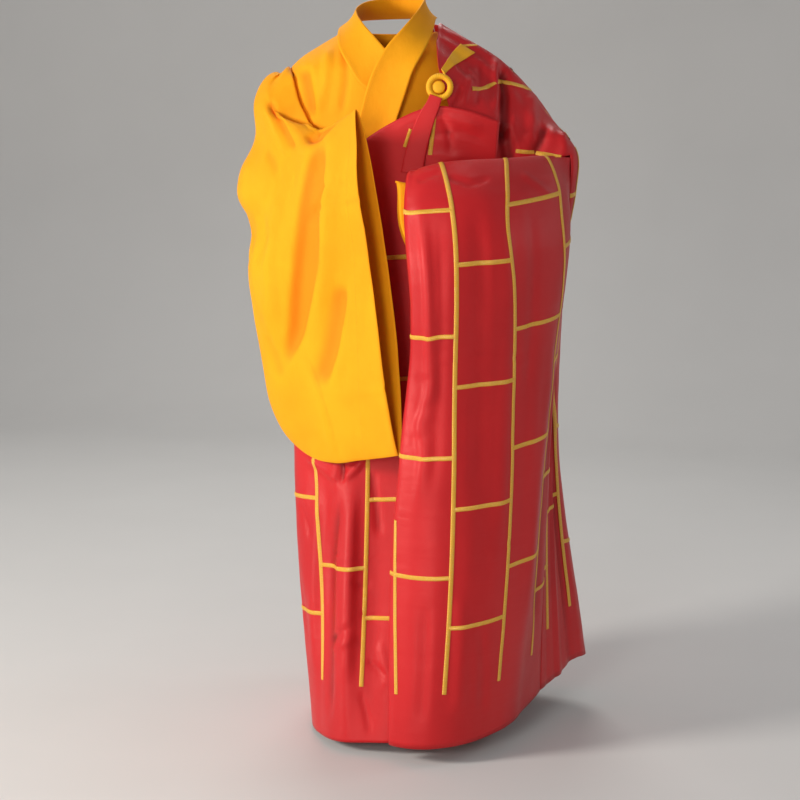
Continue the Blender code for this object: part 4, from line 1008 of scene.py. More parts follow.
def build_robe_body():
    """The two fronts and the back. Returns the right armhole's loop and the left one's."""
    left, left_hole = robe_panel("robe_front_left_cloth", lambda h: -90 + PANEL_GAP + 0 * h,
                                 lambda h: overlap_angle(h) - PANEL_GAP, 10, hole_at_start=True)
    right, right_hole = robe_panel("robe_front_right_cloth", lambda h: overlap_angle(h) + PANEL_GAP,
                                   lambda h: 90 - PANEL_GAP + 0 * h, 10, hole_at_end=True)
    back, back_hole = robe_panel("robe_back_cloth", lambda h: 90 + PANEL_GAP + 0 * h,
                                 lambda h: 270 - PANEL_GAP + 0 * h, 17, hole_at_start=True, hole_at_end=True)
    rows = [i for i, level in enumerate(ROBE_LEVELS) if ARMHOLE_LOW - 0.001 < level < ARMHOLE_TOP + 0.001]
    right_loop = armhole_loop(right, len(right[0]) - 1 - right_hole, back, back_hole, rows, False)
    left_loop = armhole_loop(left, left_hole, back, len(back[0]) - 1 - back_hole, rows, True)
    return right_loop, left_loop


# The collar, with a row of stitches along each edge

def build_collar():
    points = refined(collar_points(37, 4), 6, 5)
    points = points + grid_normals(points) * COLLAR_CLOTH
    shown, height = pressed(points, (), seed=2, fine=0.0003, coarse=0.0004)
    rows = shown.shape[0]
    rim = np.minimum(np.arange(rows), np.arange(rows)[::-1]) / (rows - 1) * 0.064
    lift = hem_fold(rim, 0.005) * 0.6
    shown = shown + grid_normals(shown) * lift[:, None, None]
    cloth_piece("robe_collar_cloth", shown, COTTON, COLLAR_CLOTH, height=height)
    rows_sewn = []
    for share in (0.10, 0.90):
        rows_sewn.append(line_on(shown, [(share * (rows - 1), j) for j in range(2, shown.shape[1] - 2)]))
    sewn("robe_collar_stitches", rows_sewn, YELLOW_THREAD, pitch=0.0042, length=0.0026)


# The sleeves

SLEEVE_CREASES = (
    (-9.0, 5, 7, (268, 98), (278, 118), (287, 136), (295, 152)),
    (5.0, 6, 5, (262, 106), (272, 124), (283, 146), (290, 160)),
    (6.0, 7, 9, (292, 70), (300, 90), (309, 111), (318, 131)),
    (-8.0, 6, 7, (336, 116), (327, 126), (318, 136), (305, 142)),
    (-14.0, 24, 12, (322, 132), (311, 178), (304, 230), (299, 285), (296, 330), (288, 372)),
    (8.5, 18, 7, (330, 128), (326, 181), (322, 222), (324, 264), (315, 301), (302, 344), (286, 380)),
    (7.5, 10, 14, (294, 150), (282, 192), (272, 226), (268, 264), (272, 300), (278, 338)),
    (-6.0, 5, 6, (326, 180), (316, 200), (305, 219)),
    (-4.5, 6, 4, (305, 219), (314, 214), (326, 203)),
    (3.5, 5, 5, (332, 186), (322, 206), (312, 222)),
    (-9.0, 10, 18, (343, 280), (339, 318), (332, 352), (320, 390)),
    (4.5, 12, 6, (352, 276), (349, 312), (343, 348), (332, 388)),
    (3.5, 10, 14, (362, 250), (360, 310), (350, 372)),
    (-3.0, 8, 8, (259, 146), (272, 160), (282, 181), (280, 206)),
    (-4.0, 7, 8, (268, 228), (262, 248), (259, 270)),
    (3.0, 7, 8, (254, 214), (252, 240), (254, 262)),
    (2.2, 3, 5, (300, 342), (308, 368), (320, 401), (328, 430), (336, 460)),
    (-1.6, 4, 3, (303, 342), (311, 368), (323, 401), (331, 430), (339, 460)),
    (1.8, 3, 4, (319, 399), (345, 395), (370, 391), (398, 385)),
    (-1.3, 3, 3, (319, 396), (345, 392), (370, 388), (398, 382)),
    (-2.0, 2.5, 2.5, (343, 204), (354, 202), (366, 197)),
    (-1.6, 2.5, 2.5, (334, 179), (341, 183), (349, 186)),
    (-1.5, 2.5, 2.5, (358, 231), (366, 228), (374, 226)),
    (-2.0, 4, 4, (352, 262), (356, 268), (360, 262)),
    (-3.0, 8, 8, (266, 330), (274, 352), (282, 380)),
    (2.5, 8, 8, (262, 300), (270, 330), (280, 352)),
)
SLEEVE_BACK_FOLDS = (
    (250.0, 1.5, 16.0, -0.008, 4.0, 15.0),
    (285.0, -1.0, 18.0, 0.007, 3.0, 13.0),
    (318.0, 1.0, 14.0, -0.006, 5.0, 17.0),
    (268.0, 0.0, 8.0, -0.005, 9.0, 19.0),
    (225.0, 0.0, 12.0, 0.006, 3.0, 12.0),
    (205.0, 1.5, 12.0, -0.006, 8.0, 18.0),
)


# The pleat's edge in the camera's frame, a point for each of the sleeve's first columns
PLEAT_EDGE = ((315.5, 131), (312.5, 124), (308.5, 116), (304, 107), (300.3, 97), (297.5, 87), (295, 78),
              (292, 71), (286, 66))
# The rings laid in the pleat: which one, its share of the way to the edge, and its height on the robe
PLEAT_RINGS = ((1, 0.72, 0.0035), (2, 1.0, 0.0105))
# Where a sleeve's outline is drawn in: by how much, and its height and reach in the camera's frame. Of the
# right sleeve only the outer part is: in full up to the first place across, and not at all from the second.
SLEEVE_DRAWN_IN = ((0.019, 138, 40), (-0.004, 192, 22), (0.015, 232, 36))
SLEEVE_OUTER = (250, 276)
LEFT_CUFF_DRAWN_IN = (0.013, 226, 48)
RIGHT_RINGS, LEFT_RINGS = 21, 13
RING_PITCH = 0.020
# The creases begin at one ring below the armhole and are whole at the next.
CREASES_BEGIN = (0.6, 3.0)
# A column that comes this near a corner of the armhole, in steps along its loop, is put on it.
CORNER_REACH = 0.08


def drawn_at(places, shift):
    """How far a shift moves the cloth at the places: most at its height in the frame, none past its reach."""
    most, level, reach = shift
    return most * bump((places[..., 1] - level) / reach)


def pleated(rings):
    """The sleeve's cap laid in a pleat over the robe's front: the third ring is the pleat's edge, the second
    is tucked under it, and both keep clear of the robe's front."""
    heights = np.linspace(-0.30, -0.02, 141)
    angles = np.linspace(10, 100, 181)
    front = robe_point(angles[None, :] + 0 * heights[:, None], heights[:, None] + 0 * angles[None, :])
    outward = grid_normals(front)
    outward = outward * np.sign(np.einsum("ijk,ijk->ij", outward, front * np.array([1, 1, 0])))[..., None]
    places = in_frame(front)
    rings = rings.copy()
    from_frame = in_frame(rings[0])
    for column, edge in enumerate(PLEAT_EDGE):
        for ring, share, clear in PLEAT_RINGS:
            aim = from_frame[column] + (np.array(edge) - from_frame[column]) * share
            nearest = np.argmin(np.linalg.norm(places - aim, axis=-1))
            laid = front.reshape(-1, 3)[nearest] + outward.reshape(-1, 3)[nearest] * clear
            keep = 0.5 if column == len(PLEAT_EDGE) - 1 else 0.0
            rings[ring, column] = laid + (rings[ring, column] - laid) * keep
    return rings


def sewn_in(points, loop, turns, row_pieces):
    """The first rows drawn to the armhole's own edge, with the square corners that a ring rounds off."""
    columns = points.shape[1]
    place = np.interp(np.arange(columns) * 360 / columns, *np.array(turns, float).T)
    at_corner = np.abs(place - np.round(place)) < CORNER_REACH
    spots, outs = loop_places(loop, np.where(at_corner, np.round(place), place) % len(loop))
    edge = spots + outs * SLEEVE_STANDS_OFF
    drawn = 1 - ramp(np.arange(points.shape[0]) / row_pieces, 0.0, 1.0)
    return points + (edge - points[0])[None] * drawn[:, None, None]


def build_right_sleeve(loop):
    """The wide sleeve. Returns the line of its cuff's stitches."""
    right = sleeve_points(RIGHT_SLEEVE, loop, RIGHT_TURNS, RIGHT_RINGS, 30, RIGHT_SLEEVE_FOLDS)
    right[3:] = clear_of_body(right[3:])
    right = pleated(right)
    fine = refined(right, 6, 6, closed=True)
    rows, columns = fine.shape[:2]
    cuff_ring = RIGHT_RINGS + 1
    down = np.linspace(0, cuff_ring, rows)[:, None] + np.zeros((1, columns))
    across = (np.arange(columns) * 360 / columns)[None, :] + 0 * down
    back = fold_heights(SLEEVE_BACK_FOLDS, across, down)
    fine = fine + grid_normals(fine, True) * back[..., None]
    settled = ramp(down[:, 0], *CREASES_BEGIN)[:, None]
    shown, height = pressed(fine, SLEEVE_CREASES, seed=3, fine=0.0008, coarse=0.0022, closed=True)
    shown = fine + (shown - fine) * settled[..., None]
    lift = hem_fold((cuff_ring - down) * RING_PITCH, 0.030)
    shown = shown + grid_normals(shown, True) * lift[..., None]
    places = in_frame(shown)
    outer = 1 - ramp(places[..., 0], *SLEEVE_OUTER)
    drawn_in = sum(drawn_at(places, shift) for shift in SLEEVE_DRAWN_IN)
    shown = shown + TO_RIGHT * (drawn_in * outer)[..., None]
    shown = sewn_in(shown, loop, RIGHT_TURNS, 6)
    cloth_piece("robe_sleeve_right_cloth", shown, COTTON, ROBE_CLOTH, closed=True,
                height=height * settled + back)
    return line_on(shown, [(rows - 1 - 9, j % columns) for j in range(columns + 1)], closed=True)


def build_left_sleeve(loop):
    """The sleeve under the mantle. Returns the line of its cuff's stitches."""
    left = sleeve_points(LEFT_SLEEVE, loop, LEFT_TURNS, LEFT_RINGS, 20, ())
    fine = refined(left, 6, 6, closed=True)
    shown, height = pressed(fine, (), seed=4, fine=0.0006, coarse=0.0010, closed=True)
    near_cuff = ramp(np.arange(fine.shape[0]) / (fine.shape[0] - 1), 0.80, 1.0)[:, None]
    drawn_in = drawn_at(in_frame(shown), LEFT_CUFF_DRAWN_IN) * near_cuff
    shown = shown - TO_RIGHT * drawn_in[..., None]
    cloth_piece("robe_sleeve_left_cloth", shown, COTTON, ROBE_CLOTH, closed=True, height=height)
    rows, columns = shown.shape[:2]
    return line_on(shown, [(rows - 1 - 5, j % columns) for j in range(columns + 1)], closed=True)


# Stitches and lines on a grid

def line_on(points, spots, closed=False):
    """A line of places on the grid with the surface's normals there."""
    normals = grid_normals(points, closed)
    line = np.array([read_grid(points, row, column) for row, column in spots])
    out = unit(np.array([read_grid(normals, row, column) for row, column in spots]))
    return line, out


def stitch_tree():
    """Geometry Nodes: a stitch on every point, lying along its line and standing on the cloth."""
    tree = bpy.data.node_groups.new("stitches", "GeometryNodeTree")
    tree.interface.new_socket("Spots", in_out="INPUT", socket_type="NodeSocketGeometry")
    for label in ("Length", "Thickness"):
        tree.interface.new_socket(label, in_out="INPUT", socket_type="NodeSocketFloat")
    tree.interface.new_socket("Thread", in_out="INPUT", socket_type="NodeSocketMaterial")
    tree.interface.new_socket("Stitches", in_out="OUTPUT", socket_type="NodeSocketGeometry")
    add, link = tree.nodes.new, tree.links.new
    start, end = add("NodeGroupInput"), add("NodeGroupOutput")
    grain = add("GeometryNodeMeshUVSphere")
    grain.inputs["Segments"].default_value = 6
    grain.inputs["Rings"].default_value = 4
    grain.inputs["Radius"].default_value = 0.5
    shape = add("ShaderNodeCombineXYZ")
    link(start.outputs["Thickness"], shape.inputs["X"])
    link(start.outputs["Length"], shape.inputs["Y"])
    link(start.outputs["Thickness"], shape.inputs["Z"])
    stretch = add("GeometryNodeTransform")
    link(grain.outputs["Mesh"], stretch.inputs["Geometry"])
    link(shape.outputs["Vector"], stretch.inputs["Scale"])
    axes = []
    for label in ("out", "along"):
        named = add("GeometryNodeInputNamedAttribute")
        named.data_type = "FLOAT_VECTOR"
        named.inputs["Name"].default_value = label
        axes.append(named)
    turn = add("FunctionNodeAxesToRotation")
    turn.primary_axis, turn.secondary_axis = "Z", "Y"
    link(axes[0].outputs["Attribute"], turn.inputs["Primary Axis"])
    link(axes[1].outputs["Attribute"], turn.inputs["Secondary Axis"])
    place = add("GeometryNodeInstanceOnPoints")
    link(start.outputs["Spots"], place.inputs["Points"])
    link(stretch.outputs["Geometry"], place.inputs["Instance"])
    link(turn.outputs["Rotation"], place.inputs["Rotation"])
    real = add("GeometryNodeRealizeInstances")
    link(place.outputs["Instances"], real.inputs["Geometry"])
    paint = add("GeometryNodeSetMaterial")
    link(real.outputs["Geometry"], paint.inputs["Geometry"])
    link(start.outputs["Thread"], paint.inputs["Material"])
    link(paint.outputs["Geometry"], end.inputs["Stitches"])
    return tree


STITCHES = stitch_tree()
THREAD_THICKNESS = 0.00035


def sewn(name, lines, finish, pitch, length):
    """Stitches at one pitch along lines of places with normals, as one plain mesh."""
    spots, outs, ways = [], [], []
    for line, out in lines:
        steps = np.linalg.norm(np.diff(line, axis=0), axis=1)
        at = np.concatenate([[0], np.cumsum(steps)])
        where = np.arange(pitch / 2, at[-1], pitch)
        spot = np.stack([np.interp(where, at, line[:, k]) for k in range(3)], axis=-1)
        ahead = np.stack([np.interp(where + pitch / 2, at, line[:, k]) for k in range(3)], axis=-1)
        behind = np.stack([np.interp(where - pitch / 2, at, line[:, k]) for k in range(3)], axis=-1)
        normal = unit(np.stack([np.interp(where, at, out[:, k]) for k in range(3)], axis=-1))
        spots.append(spot + normal * THREAD_THICKNESS * 0.35)
        outs.append(normal)
        ways.append(unit(ahead - behind))
    spots, outs, ways = (np.concatenate(part).astype(np.float32) for part in (spots, outs, ways))
    mesh = bpy.data.meshes.new(name + "_spots")
    mesh.from_pydata(spots.tolist(), [], [])
    for label, values in (("out", outs), ("along", ways)):
        mesh.attributes.new(label, "FLOAT_VECTOR", "POINT").data.foreach_set("vector", values.ravel())
    holder = bpy.data.objects.new(name + "_spots", mesh)
    bpy.context.scene.collection.objects.link(holder)
    maker = holder.modifiers.new("stitches", "NODES")
    maker.node_group = STITCHES
    sockets = {item.name: item.identifier for item in STITCHES.interface.items_tree
               if item.item_type == "SOCKET"}
    maker[sockets["Length"]] = length
    maker[sockets["Thickness"]] = THREAD_THICKNESS
    maker[sockets["Thread"]] = finish
    bpy.context.view_layer.update()
    evaluated = holder.evaluated_get(bpy.context.evaluated_depsgraph_get())
    made_mesh = bpy.data.meshes.new_from_object(evaluated)
    bpy.data.objects.remove(holder)
    made_mesh.name = name
    new_piece(name, made_mesh)


# The mantle

DRAPE_CREASES = (
    (5.5, 14, 9, (416, 196), (417, 250), (419, 310), (424, 360), (428, 392), (420, 425), (424, 455),
     (416, 520)),
    (-1.8, 10, 9, (438, 210), (440, 280), (440, 352), (437, 420), (433, 500)),
    (-2.6, 5, 5, (410, 374), (418, 384), (430, 376)),
    (-2.6, 5, 5, (412, 408), (424, 410), (436, 402)),
    (-2.2, 4, 4, (408, 440), (420, 440), (430, 434)),
    (1.6, 3, 3, (420, 359), (455, 358), (500, 360), (545, 362)),
    (-1.2, 3, 3, (420, 356), (455, 355), (500, 357), (545, 359)),
    (1.4, 3, 3, (400, 548), (440, 552), (490, 549), (530, 542)),
    (-1.1, 3, 3, (400, 545), (440, 549), (490, 546), (530, 539)),
    (4.0, 9, 8, (556, 330), (551, 380), (546, 430), (541, 480), (536, 540), (532, 600), (529, 652)),
    (-7.0, 4, 8, (560, 330), (557, 380), (551, 430), (546, 480), (541, 540), (537, 600), (534, 652)),
    (-3.0, 14, 14, (478, 200), (482, 300), (480, 400), (476, 520)),
    (3.0, 10, 12, (505, 200), (508, 300), (505, 420), (500, 560)),
    (-2.0, 8, 8, (530, 200), (534, 260), (532, 330), (526, 400)),
    (3.0, 12, 12, (460, 590), (462, 650), (458, 720)),
    (-3.0, 10, 10, (425, 600), (424, 660), (420, 730)),
    (-2.5, 8, 8, (480, 620), (484, 670), (482, 718)),
    (-2.5, 6, 5, (446, 176), (470, 184), (492, 178)),
    (2.5, 6, 6, (520, 172), (540, 186), (556, 200)),
    (-2.0, 5, 5, (415, 182), (428, 176), (442, 172)),
)
SKIRT_CREASES = (
    (7.0, 7, 7, (306, 455), (322, 466), (341, 482)),
    (6.0, 6, 7, (366, 455), (356, 468), (342, 482)),
    (-9.0, 6, 6, (338, 452), (341, 466), (342, 484)),
    (-6.0, 6, 7, (341, 484), (336, 519), (332, 560), (331, 620), (330, 680), (329, 732)),
    (5.0, 9, 9, (352, 486), (350, 530), (348, 600), (346, 690)),
    (4.0, 9, 8, (318, 482), (316, 530), (314, 600), (316, 680)),
    (-4.0, 5, 6, (328, 642), (338, 634), (352, 626)),
    (3.0, 5, 5, (330, 652), (342, 645), (356, 636)),
    (-3.5, 5, 5, (366, 660), (376, 668), (390, 680)),
    (-3.0, 5, 5, (360, 690), (366, 712), (371, 736)),
    (-3.0, 4, 5, (394, 690), (396, 712), (399, 738)),
    (-3.0, 5, 5, (362, 612), (370, 618), (378, 616)),
    (3.0, 6, 6, (380, 640), (384, 660), (388, 690)),
    (-2.5, 4, 4, (300, 500), (306, 520), (312, 540)),
    (-3.0, 5, 5, (296, 560), (302, 600), (308, 640)),
    (1.4, 3, 3, (326, 556), (352, 557), (386, 560)),
    (-1.2, 3, 3, (326, 553), (352, 554), (386, 557)),
    (-4.0, 6, 8, (372, 466), (376, 500), (380, 540)),
    (-3.0, 5, 5, (352, 578), (360, 586), (372, 584)),
)
CHEST_CREASES = (
    (3.5, 5, 7, (392, 128), (420, 118), (452, 118), (486, 128)),
    (-3.0, 5, 5, (400, 146), (430, 134), (460, 132), (490, 142)),
    (3.0, 6, 6, (398, 170), (430, 156), (470, 158)),
    (-3.5, 5, 6, (440, 112), (448, 130), (452, 156)),
)
SHOULDER_CREASES = (
    (7.0, 7, 5, (495, 56), (496, 84), (494, 112)),
    (-13.0, 6, 11, (503, 64), (507, 92), (507, 122), (505, 146)),
    (-12.0, 9, 14, (504, 122), (507, 142), (510, 166)),
    (6.0, 9, 9, (530, 92), (533, 116), (530, 142)),
    (-8.0, 8, 9, (545, 122), (541, 140), (532, 158)),
    (-4.0, 5, 6, (481, 60), (481, 84), (477, 108)),
    (4.0, 5, 5, (471, 66), (470, 84), (462, 106)),
    (-4.0, 5, 5, (462, 84), (458, 98), (450, 110)),
    (4.0, 6, 6, (562, 128), (565, 146), (560, 166)),
    (-2.5, 4, 4, (455, 60), (465, 72), (476, 80)),
)
ALL_ROUND_FOLDS = (
    (8.30, 0.5, 0.22, 0.010, -1.40, -0.55),
    (9.65, -0.4, 0.22, -0.006, -1.40, -0.62),
    (10.40, 0.4, 0.20, 0.010, -1.40, -0.70),
    (9.00, 0.3, 0.16, -0.004, -1.20, -0.30),
    (7.60, 0.2, 0.20, 0.008, -1.15, -0.20),
    (7.20, -0.3, 0.18, -0.005, -1.35, -0.60),
    (8.00, 1.4, 0.20, 0.007, -0.62, -0.16),
    (8.60, 1.5, 0.22, -0.004, -0.70, -0.20),
    (9.40, 1.3, 0.20, 0.007, -0.80, -0.28),
    (11.10, -0.3, 0.18, -0.005, -1.40, -0.70),
)
SIDE_ROUND_FOLDS = (
    (6.45, 0.1, 0.18, -0.005, 0.30, 1.10),
    (5.65, 0.1, 0.20, 0.009, 0.36, 1.15),
    (4.85, -0.1, 0.18, -0.006, 0.42, 1.15),
    (4.35, 0.1, 0.16, 0.008, 0.45, 1.15),
    (3.95, 0.0, 0.14, -0.004, 0.40, 1.10),
    (5.90, 0.3, 0.22, -0.005, 0.05, 0.40),
    (5.20, 0.3, 0.22, 0.005, 0.02, 0.36),
)
WRAP_PARTS, SIDE_PARTS, DRAPE_PARTS = (14, 5), (10, 5), (10, 6)


# The drape's fold is tucked in: by how much, and its height and reach in the camera's frame; and the places
# across where it is in full and where it no longer is
DRAPE_TUCKED = (0.020, 300, 150)
DRAPE_FOLD_SIDE = (402, 452)
# The strips between which the drape goes on behind the forearm
TUCKED_STRIPS = (0.09, 3.19)


def build_wrap():
    """The stretch round the body. Returns its un-creased grid, its creased grid and its strips."""
    wrap = refined(wrap_grid(WRAP_STRIPS, 14), *WRAP_PARTS)
    wrap = wrap + grid_normals(wrap) * MANTLE_WALL
    strips = finer(WRAP_STRIPS, WRAP_PARTS[1])
    across = strips[None, :] + 0 * wrap[..., 0]
    round_heights = fold_heights(ALL_ROUND_FOLDS, across, wrap[..., 2])
    creased = wrap + grid_normals(wrap) * round_heights[..., None]
    shown, height = pressed(creased, SKIRT_CREASES + CHEST_CREASES, seed=7, fine=0.0006, coarse=0.0010)
    cloth_piece("mantle_wrap_cloth", shown, SATIN, MANTLE_CLOTH, height=height + round_heights)
    return wrap, shown, strips


def build_side():
    """The stretch over the shoulder. Returns the part of it that has braid, as (un-creased grid, creased
    grid, strips), its whole creased grid, and the edge that the drape follows."""
    coarse = side_grid(SIDE_STRIPS, SIDE_SHARE_ROWS)
    elbow = list(SIDE_STRIPS).index(ELBOW_STRIP)
    row_parts, column_parts = SIDE_PARTS
    side = refined(coarse, *SIDE_PARTS)[::-1]
    strips = finer(SIDE_STRIPS, column_parts)
    across = strips[None, :] + 0 * side[..., 0]
    down = finer(SIDE_SHARE_ROWS, row_parts)[::-1, None] + 0 * side[..., 0]
    round_heights = fold_heights(SIDE_ROUND_FOLDS, across, down)
    creased = side - grid_normals(side) * (round_heights + MANTLE_WALL)[..., None]
    mirrored, height = pressed(creased[:, ::-1], SHOULDER_CREASES + DRAPE_CREASES, seed=7, fine=0.0006,
                               coarse=0.0010)
    last_row = (len(SIDE_SHARE_ROWS) - 1) * row_parts - 1
    last_column = side.shape[1] - 2

    def keep(i, j):
        return last_row - i < ELBOW_ROW * row_parts or last_column - j < elbow * column_parts

    cloth_piece("mantle_side_cloth", mirrored, SATIN, MANTLE_CLOTH, keep=keep,
                height=height + round_heights[:, ::-1])
    shown = mirrored[:, ::-1]
    to_elbow = elbow * column_parts + 1
    with_braid = side[:, :to_elbow][:, ::-1], shown[:, :to_elbow][:, ::-1], strips[:to_elbow][::-1]
    return with_braid, shown[::-1], coarse[ELBOW_ROW:, elbow]


def build_drape(side_edge):
    """The stretch over the forearm. Returns its un-creased grid, its creased grid and its strips."""
    row_parts, column_parts = DRAPE_PARTS
    drape = refined(drape_grid(DRAPE_STRIPS, DRAPE_DOWNS, side_edge), *DRAPE_PARTS)[::-1]
    last = drape.shape[1] - 1
    joining = ramp(np.arange(last + 1), last - 2 * column_parts, last)
    drape = drape + grid_normals(drape) * (joining * MANTLE_WALL)[None, :, None]
    shown, height = pressed(drape, DRAPE_CREASES, seed=7, fine=0.0006, coarse=0.0009)
    places = in_frame(shown)
    tucked = drawn_at(places, DRAPE_TUCKED) * (1 - ramp(places[..., 0], *DRAPE_FOLD_SIDE))
    shown = shown + TO_RIGHT * tucked[..., None]
    last_down = len(DRAPE_DOWNS) - 2

    def keep(i, j):
        past_crest = DRAPE_DOWNS[last_down - i // row_parts] > -0.001
        return past_crest or TUCKED_STRIPS[0] < DRAPE_STRIPS[j // column_parts] < TUCKED_STRIPS[1]

    cloth_piece("mantle_forearm_drape_cloth", shown, SATIN, MANTLE_CLOTH, keep=keep, height=height)
    crest = int(np.argmin(np.abs(finer(DRAPE_DOWNS, row_parts)[::-1])))
    braid_rows = crest + 2 * row_parts
    return drape[:braid_rows], shown[:braid_rows], finer(DRAPE_STRIPS, column_parts)


class Ribbons:
    """Ribbons laid along lines of places with normals, crowned across their width, as one mesh."""

    PROFILE = ((-0.50, -0.0004), (-0.40, 0.75), (-0.12, 1.0), (0.12, 1.0), (0.40, 0.75), (0.50, -0.0004))

    def __init__(self):
        self.spots, self.faces, self.corners = [], [], []

    def lay(self, line, out, width=BRAID_WIDTH):
        if len(line) < 2:
            return
        line, out = np.array(line), unit(np.array(out))
        way = unit(np.gradient(line, axis=0))
        across = unit(np.cross(way, out))
        length = np.concatenate([[0], np.cumsum(np.linalg.norm(np.diff(line, axis=0), axis=1))])
        first = len(self.spots)
        for k in range(len(line)):
            for share, lift in self.PROFILE:
                self.spots.append(line[k] + across[k] * share * width + out[k] * (0.0003 + lift * BRAID_RISE))
        many = len(self.PROFILE)
        for k in range(len(line) - 1):
            for m in range(many - 1):
                a = first + k * many + m
                self.faces.append((a, a + 1, a + 1 + many, a + many))
                u, w = self.PROFILE[m][0] * width, self.PROFILE[m + 1][0] * width
                self.corners.extend([(u, length[k]), (w, length[k]), (w, length[k + 1]), (u, length[k + 1])])

    def made(self, name):
        mesh = bpy.data.meshes.new(name)
        mesh.from_pydata([tuple(s) for s in self.spots], [], self.faces)
        uv = mesh.uv_layers.new(name="cloth")
        uv.data.foreach_set("uv", np.array(self.corners, np.float32).ravel())
        mesh.materials.append(BRAID)
        new_piece(name, mesh)


def seen_line(cloth, places):
    """A line drawn in the camera's frame, laid on the cloth that shows there."""
    mesh = cloth.data
    tree = BVHTree.FromPolygons([v.co for v in mesh.vertices], [tuple(p.vertices) for p in mesh.polygons])
    places = np.array(places, float)
    at = np.concatenate([[0], np.cumsum(np.linalg.norm(np.diff(places, axis=0), axis=1))])
    spots, outs = [], []
    for where in np.linspace(0, at[-1], max(int(at[-1] / 1.6), 3)):
        x, y = np.interp(where, at, places[:, 0]), np.interp(where, at, places[:, 1])
        ray = (TO_RIGHT * (x - FRAME_PIXELS / 2) + TO_TOP * (FRAME_PIXELS / 2 - y)) / FOCAL_PIXELS - TO_CAMERA
        spot, normal = tree.ray_cast(Vector(EYE), Vector(ray).normalized())[:2]
        if spot is not None:
            spots.append(np.array(spot))
            outs.append(np.array(normal))
    return spots, outs


# Braid that is laid as it is seen: its width, and its line in the camera's frame
CHEST_LINES = (
    (0.0075, ((434.5, 111), (433.5, 124), (432, 138), (430, 155))),
    (0.0060, ((410.5, 129), (408, 137), (404.5, 147))),
)
DRAPE_LINES = (
    (0.0070, ((395.5, 520), (395.0, 560), (395.0, 620), (396.0, 694))),
)
SHOULDER_LINES = (
    (0.0080, ((472, 88.5), (480, 89), (486, 87.5), (492, 84.5), (499, 81.5), (506, 82.5), (514, 84),
              (523, 86.5), (535, 92))),
    (0.0070, ((516, 151), (525, 152), (534, 152.5))),
    (0.0080, ((536, 153), (546, 154.5), (561, 157.5))),
    (0.0045, ((461, 46), (470, 45.2), (482, 45))),
)


# How far at least a shown face looks to the camera, and the limits of the chest and of the shoulder
LEAST_FACING = 0.04
CHEST_LOW, CHEST_BACK, CHEST_RIGHT = -0.262, 0.02, -0.10
SHOULDER_LOW = -0.212


def shows(spot, normal):
    """True where the face looks to the camera."""
    return np.dot(unit(normal), unit(EYE - spot)) > LEAST_FACING


def on_chest(spot, normal):
    """True on the front of the chest, where the lines are laid as they are seen."""
    return spot[2] > CHEST_LOW and spot[1] < CHEST_BACK and spot[0] > CHEST_RIGHT and shows(spot, normal)


def on_shoulder(spot, normal):
    """True on the shoulder, where the lines are laid as they are seen."""
    return spot[2] > SHOULDER_LOW and shows(spot, normal)


# How far the drape's lines sway, in strips, at each height above the hem
DRAPE_SWAY = table(("above", "sway"), ((0.50, 0.0), (0.70, -0.05), (0.85, -0.18), (0.95, -0.26),
                                       (1.04, -0.06), (1.12, 0.20), (1.22, 0.20)))


def sway(strip, above):
    """The lines over the forearm lean in under the fold and out over it, more so towards the elbow."""
    at_height = smooth(above, DRAPE_SWAY["above"], DRAPE_SWAY["sway"])
    return float(at_height * ramp(strip, 1.0, 2.0) * (0.8 + 0.1 * strip))


# The braid's places are this far apart, and it ends this clear of an edge. A cross line over less than this
# share of a strip is left out.
BRAID_STEP = 0.006
BRAID_CLEAR = 0.003
SHORTEST_CROSS = 0.2


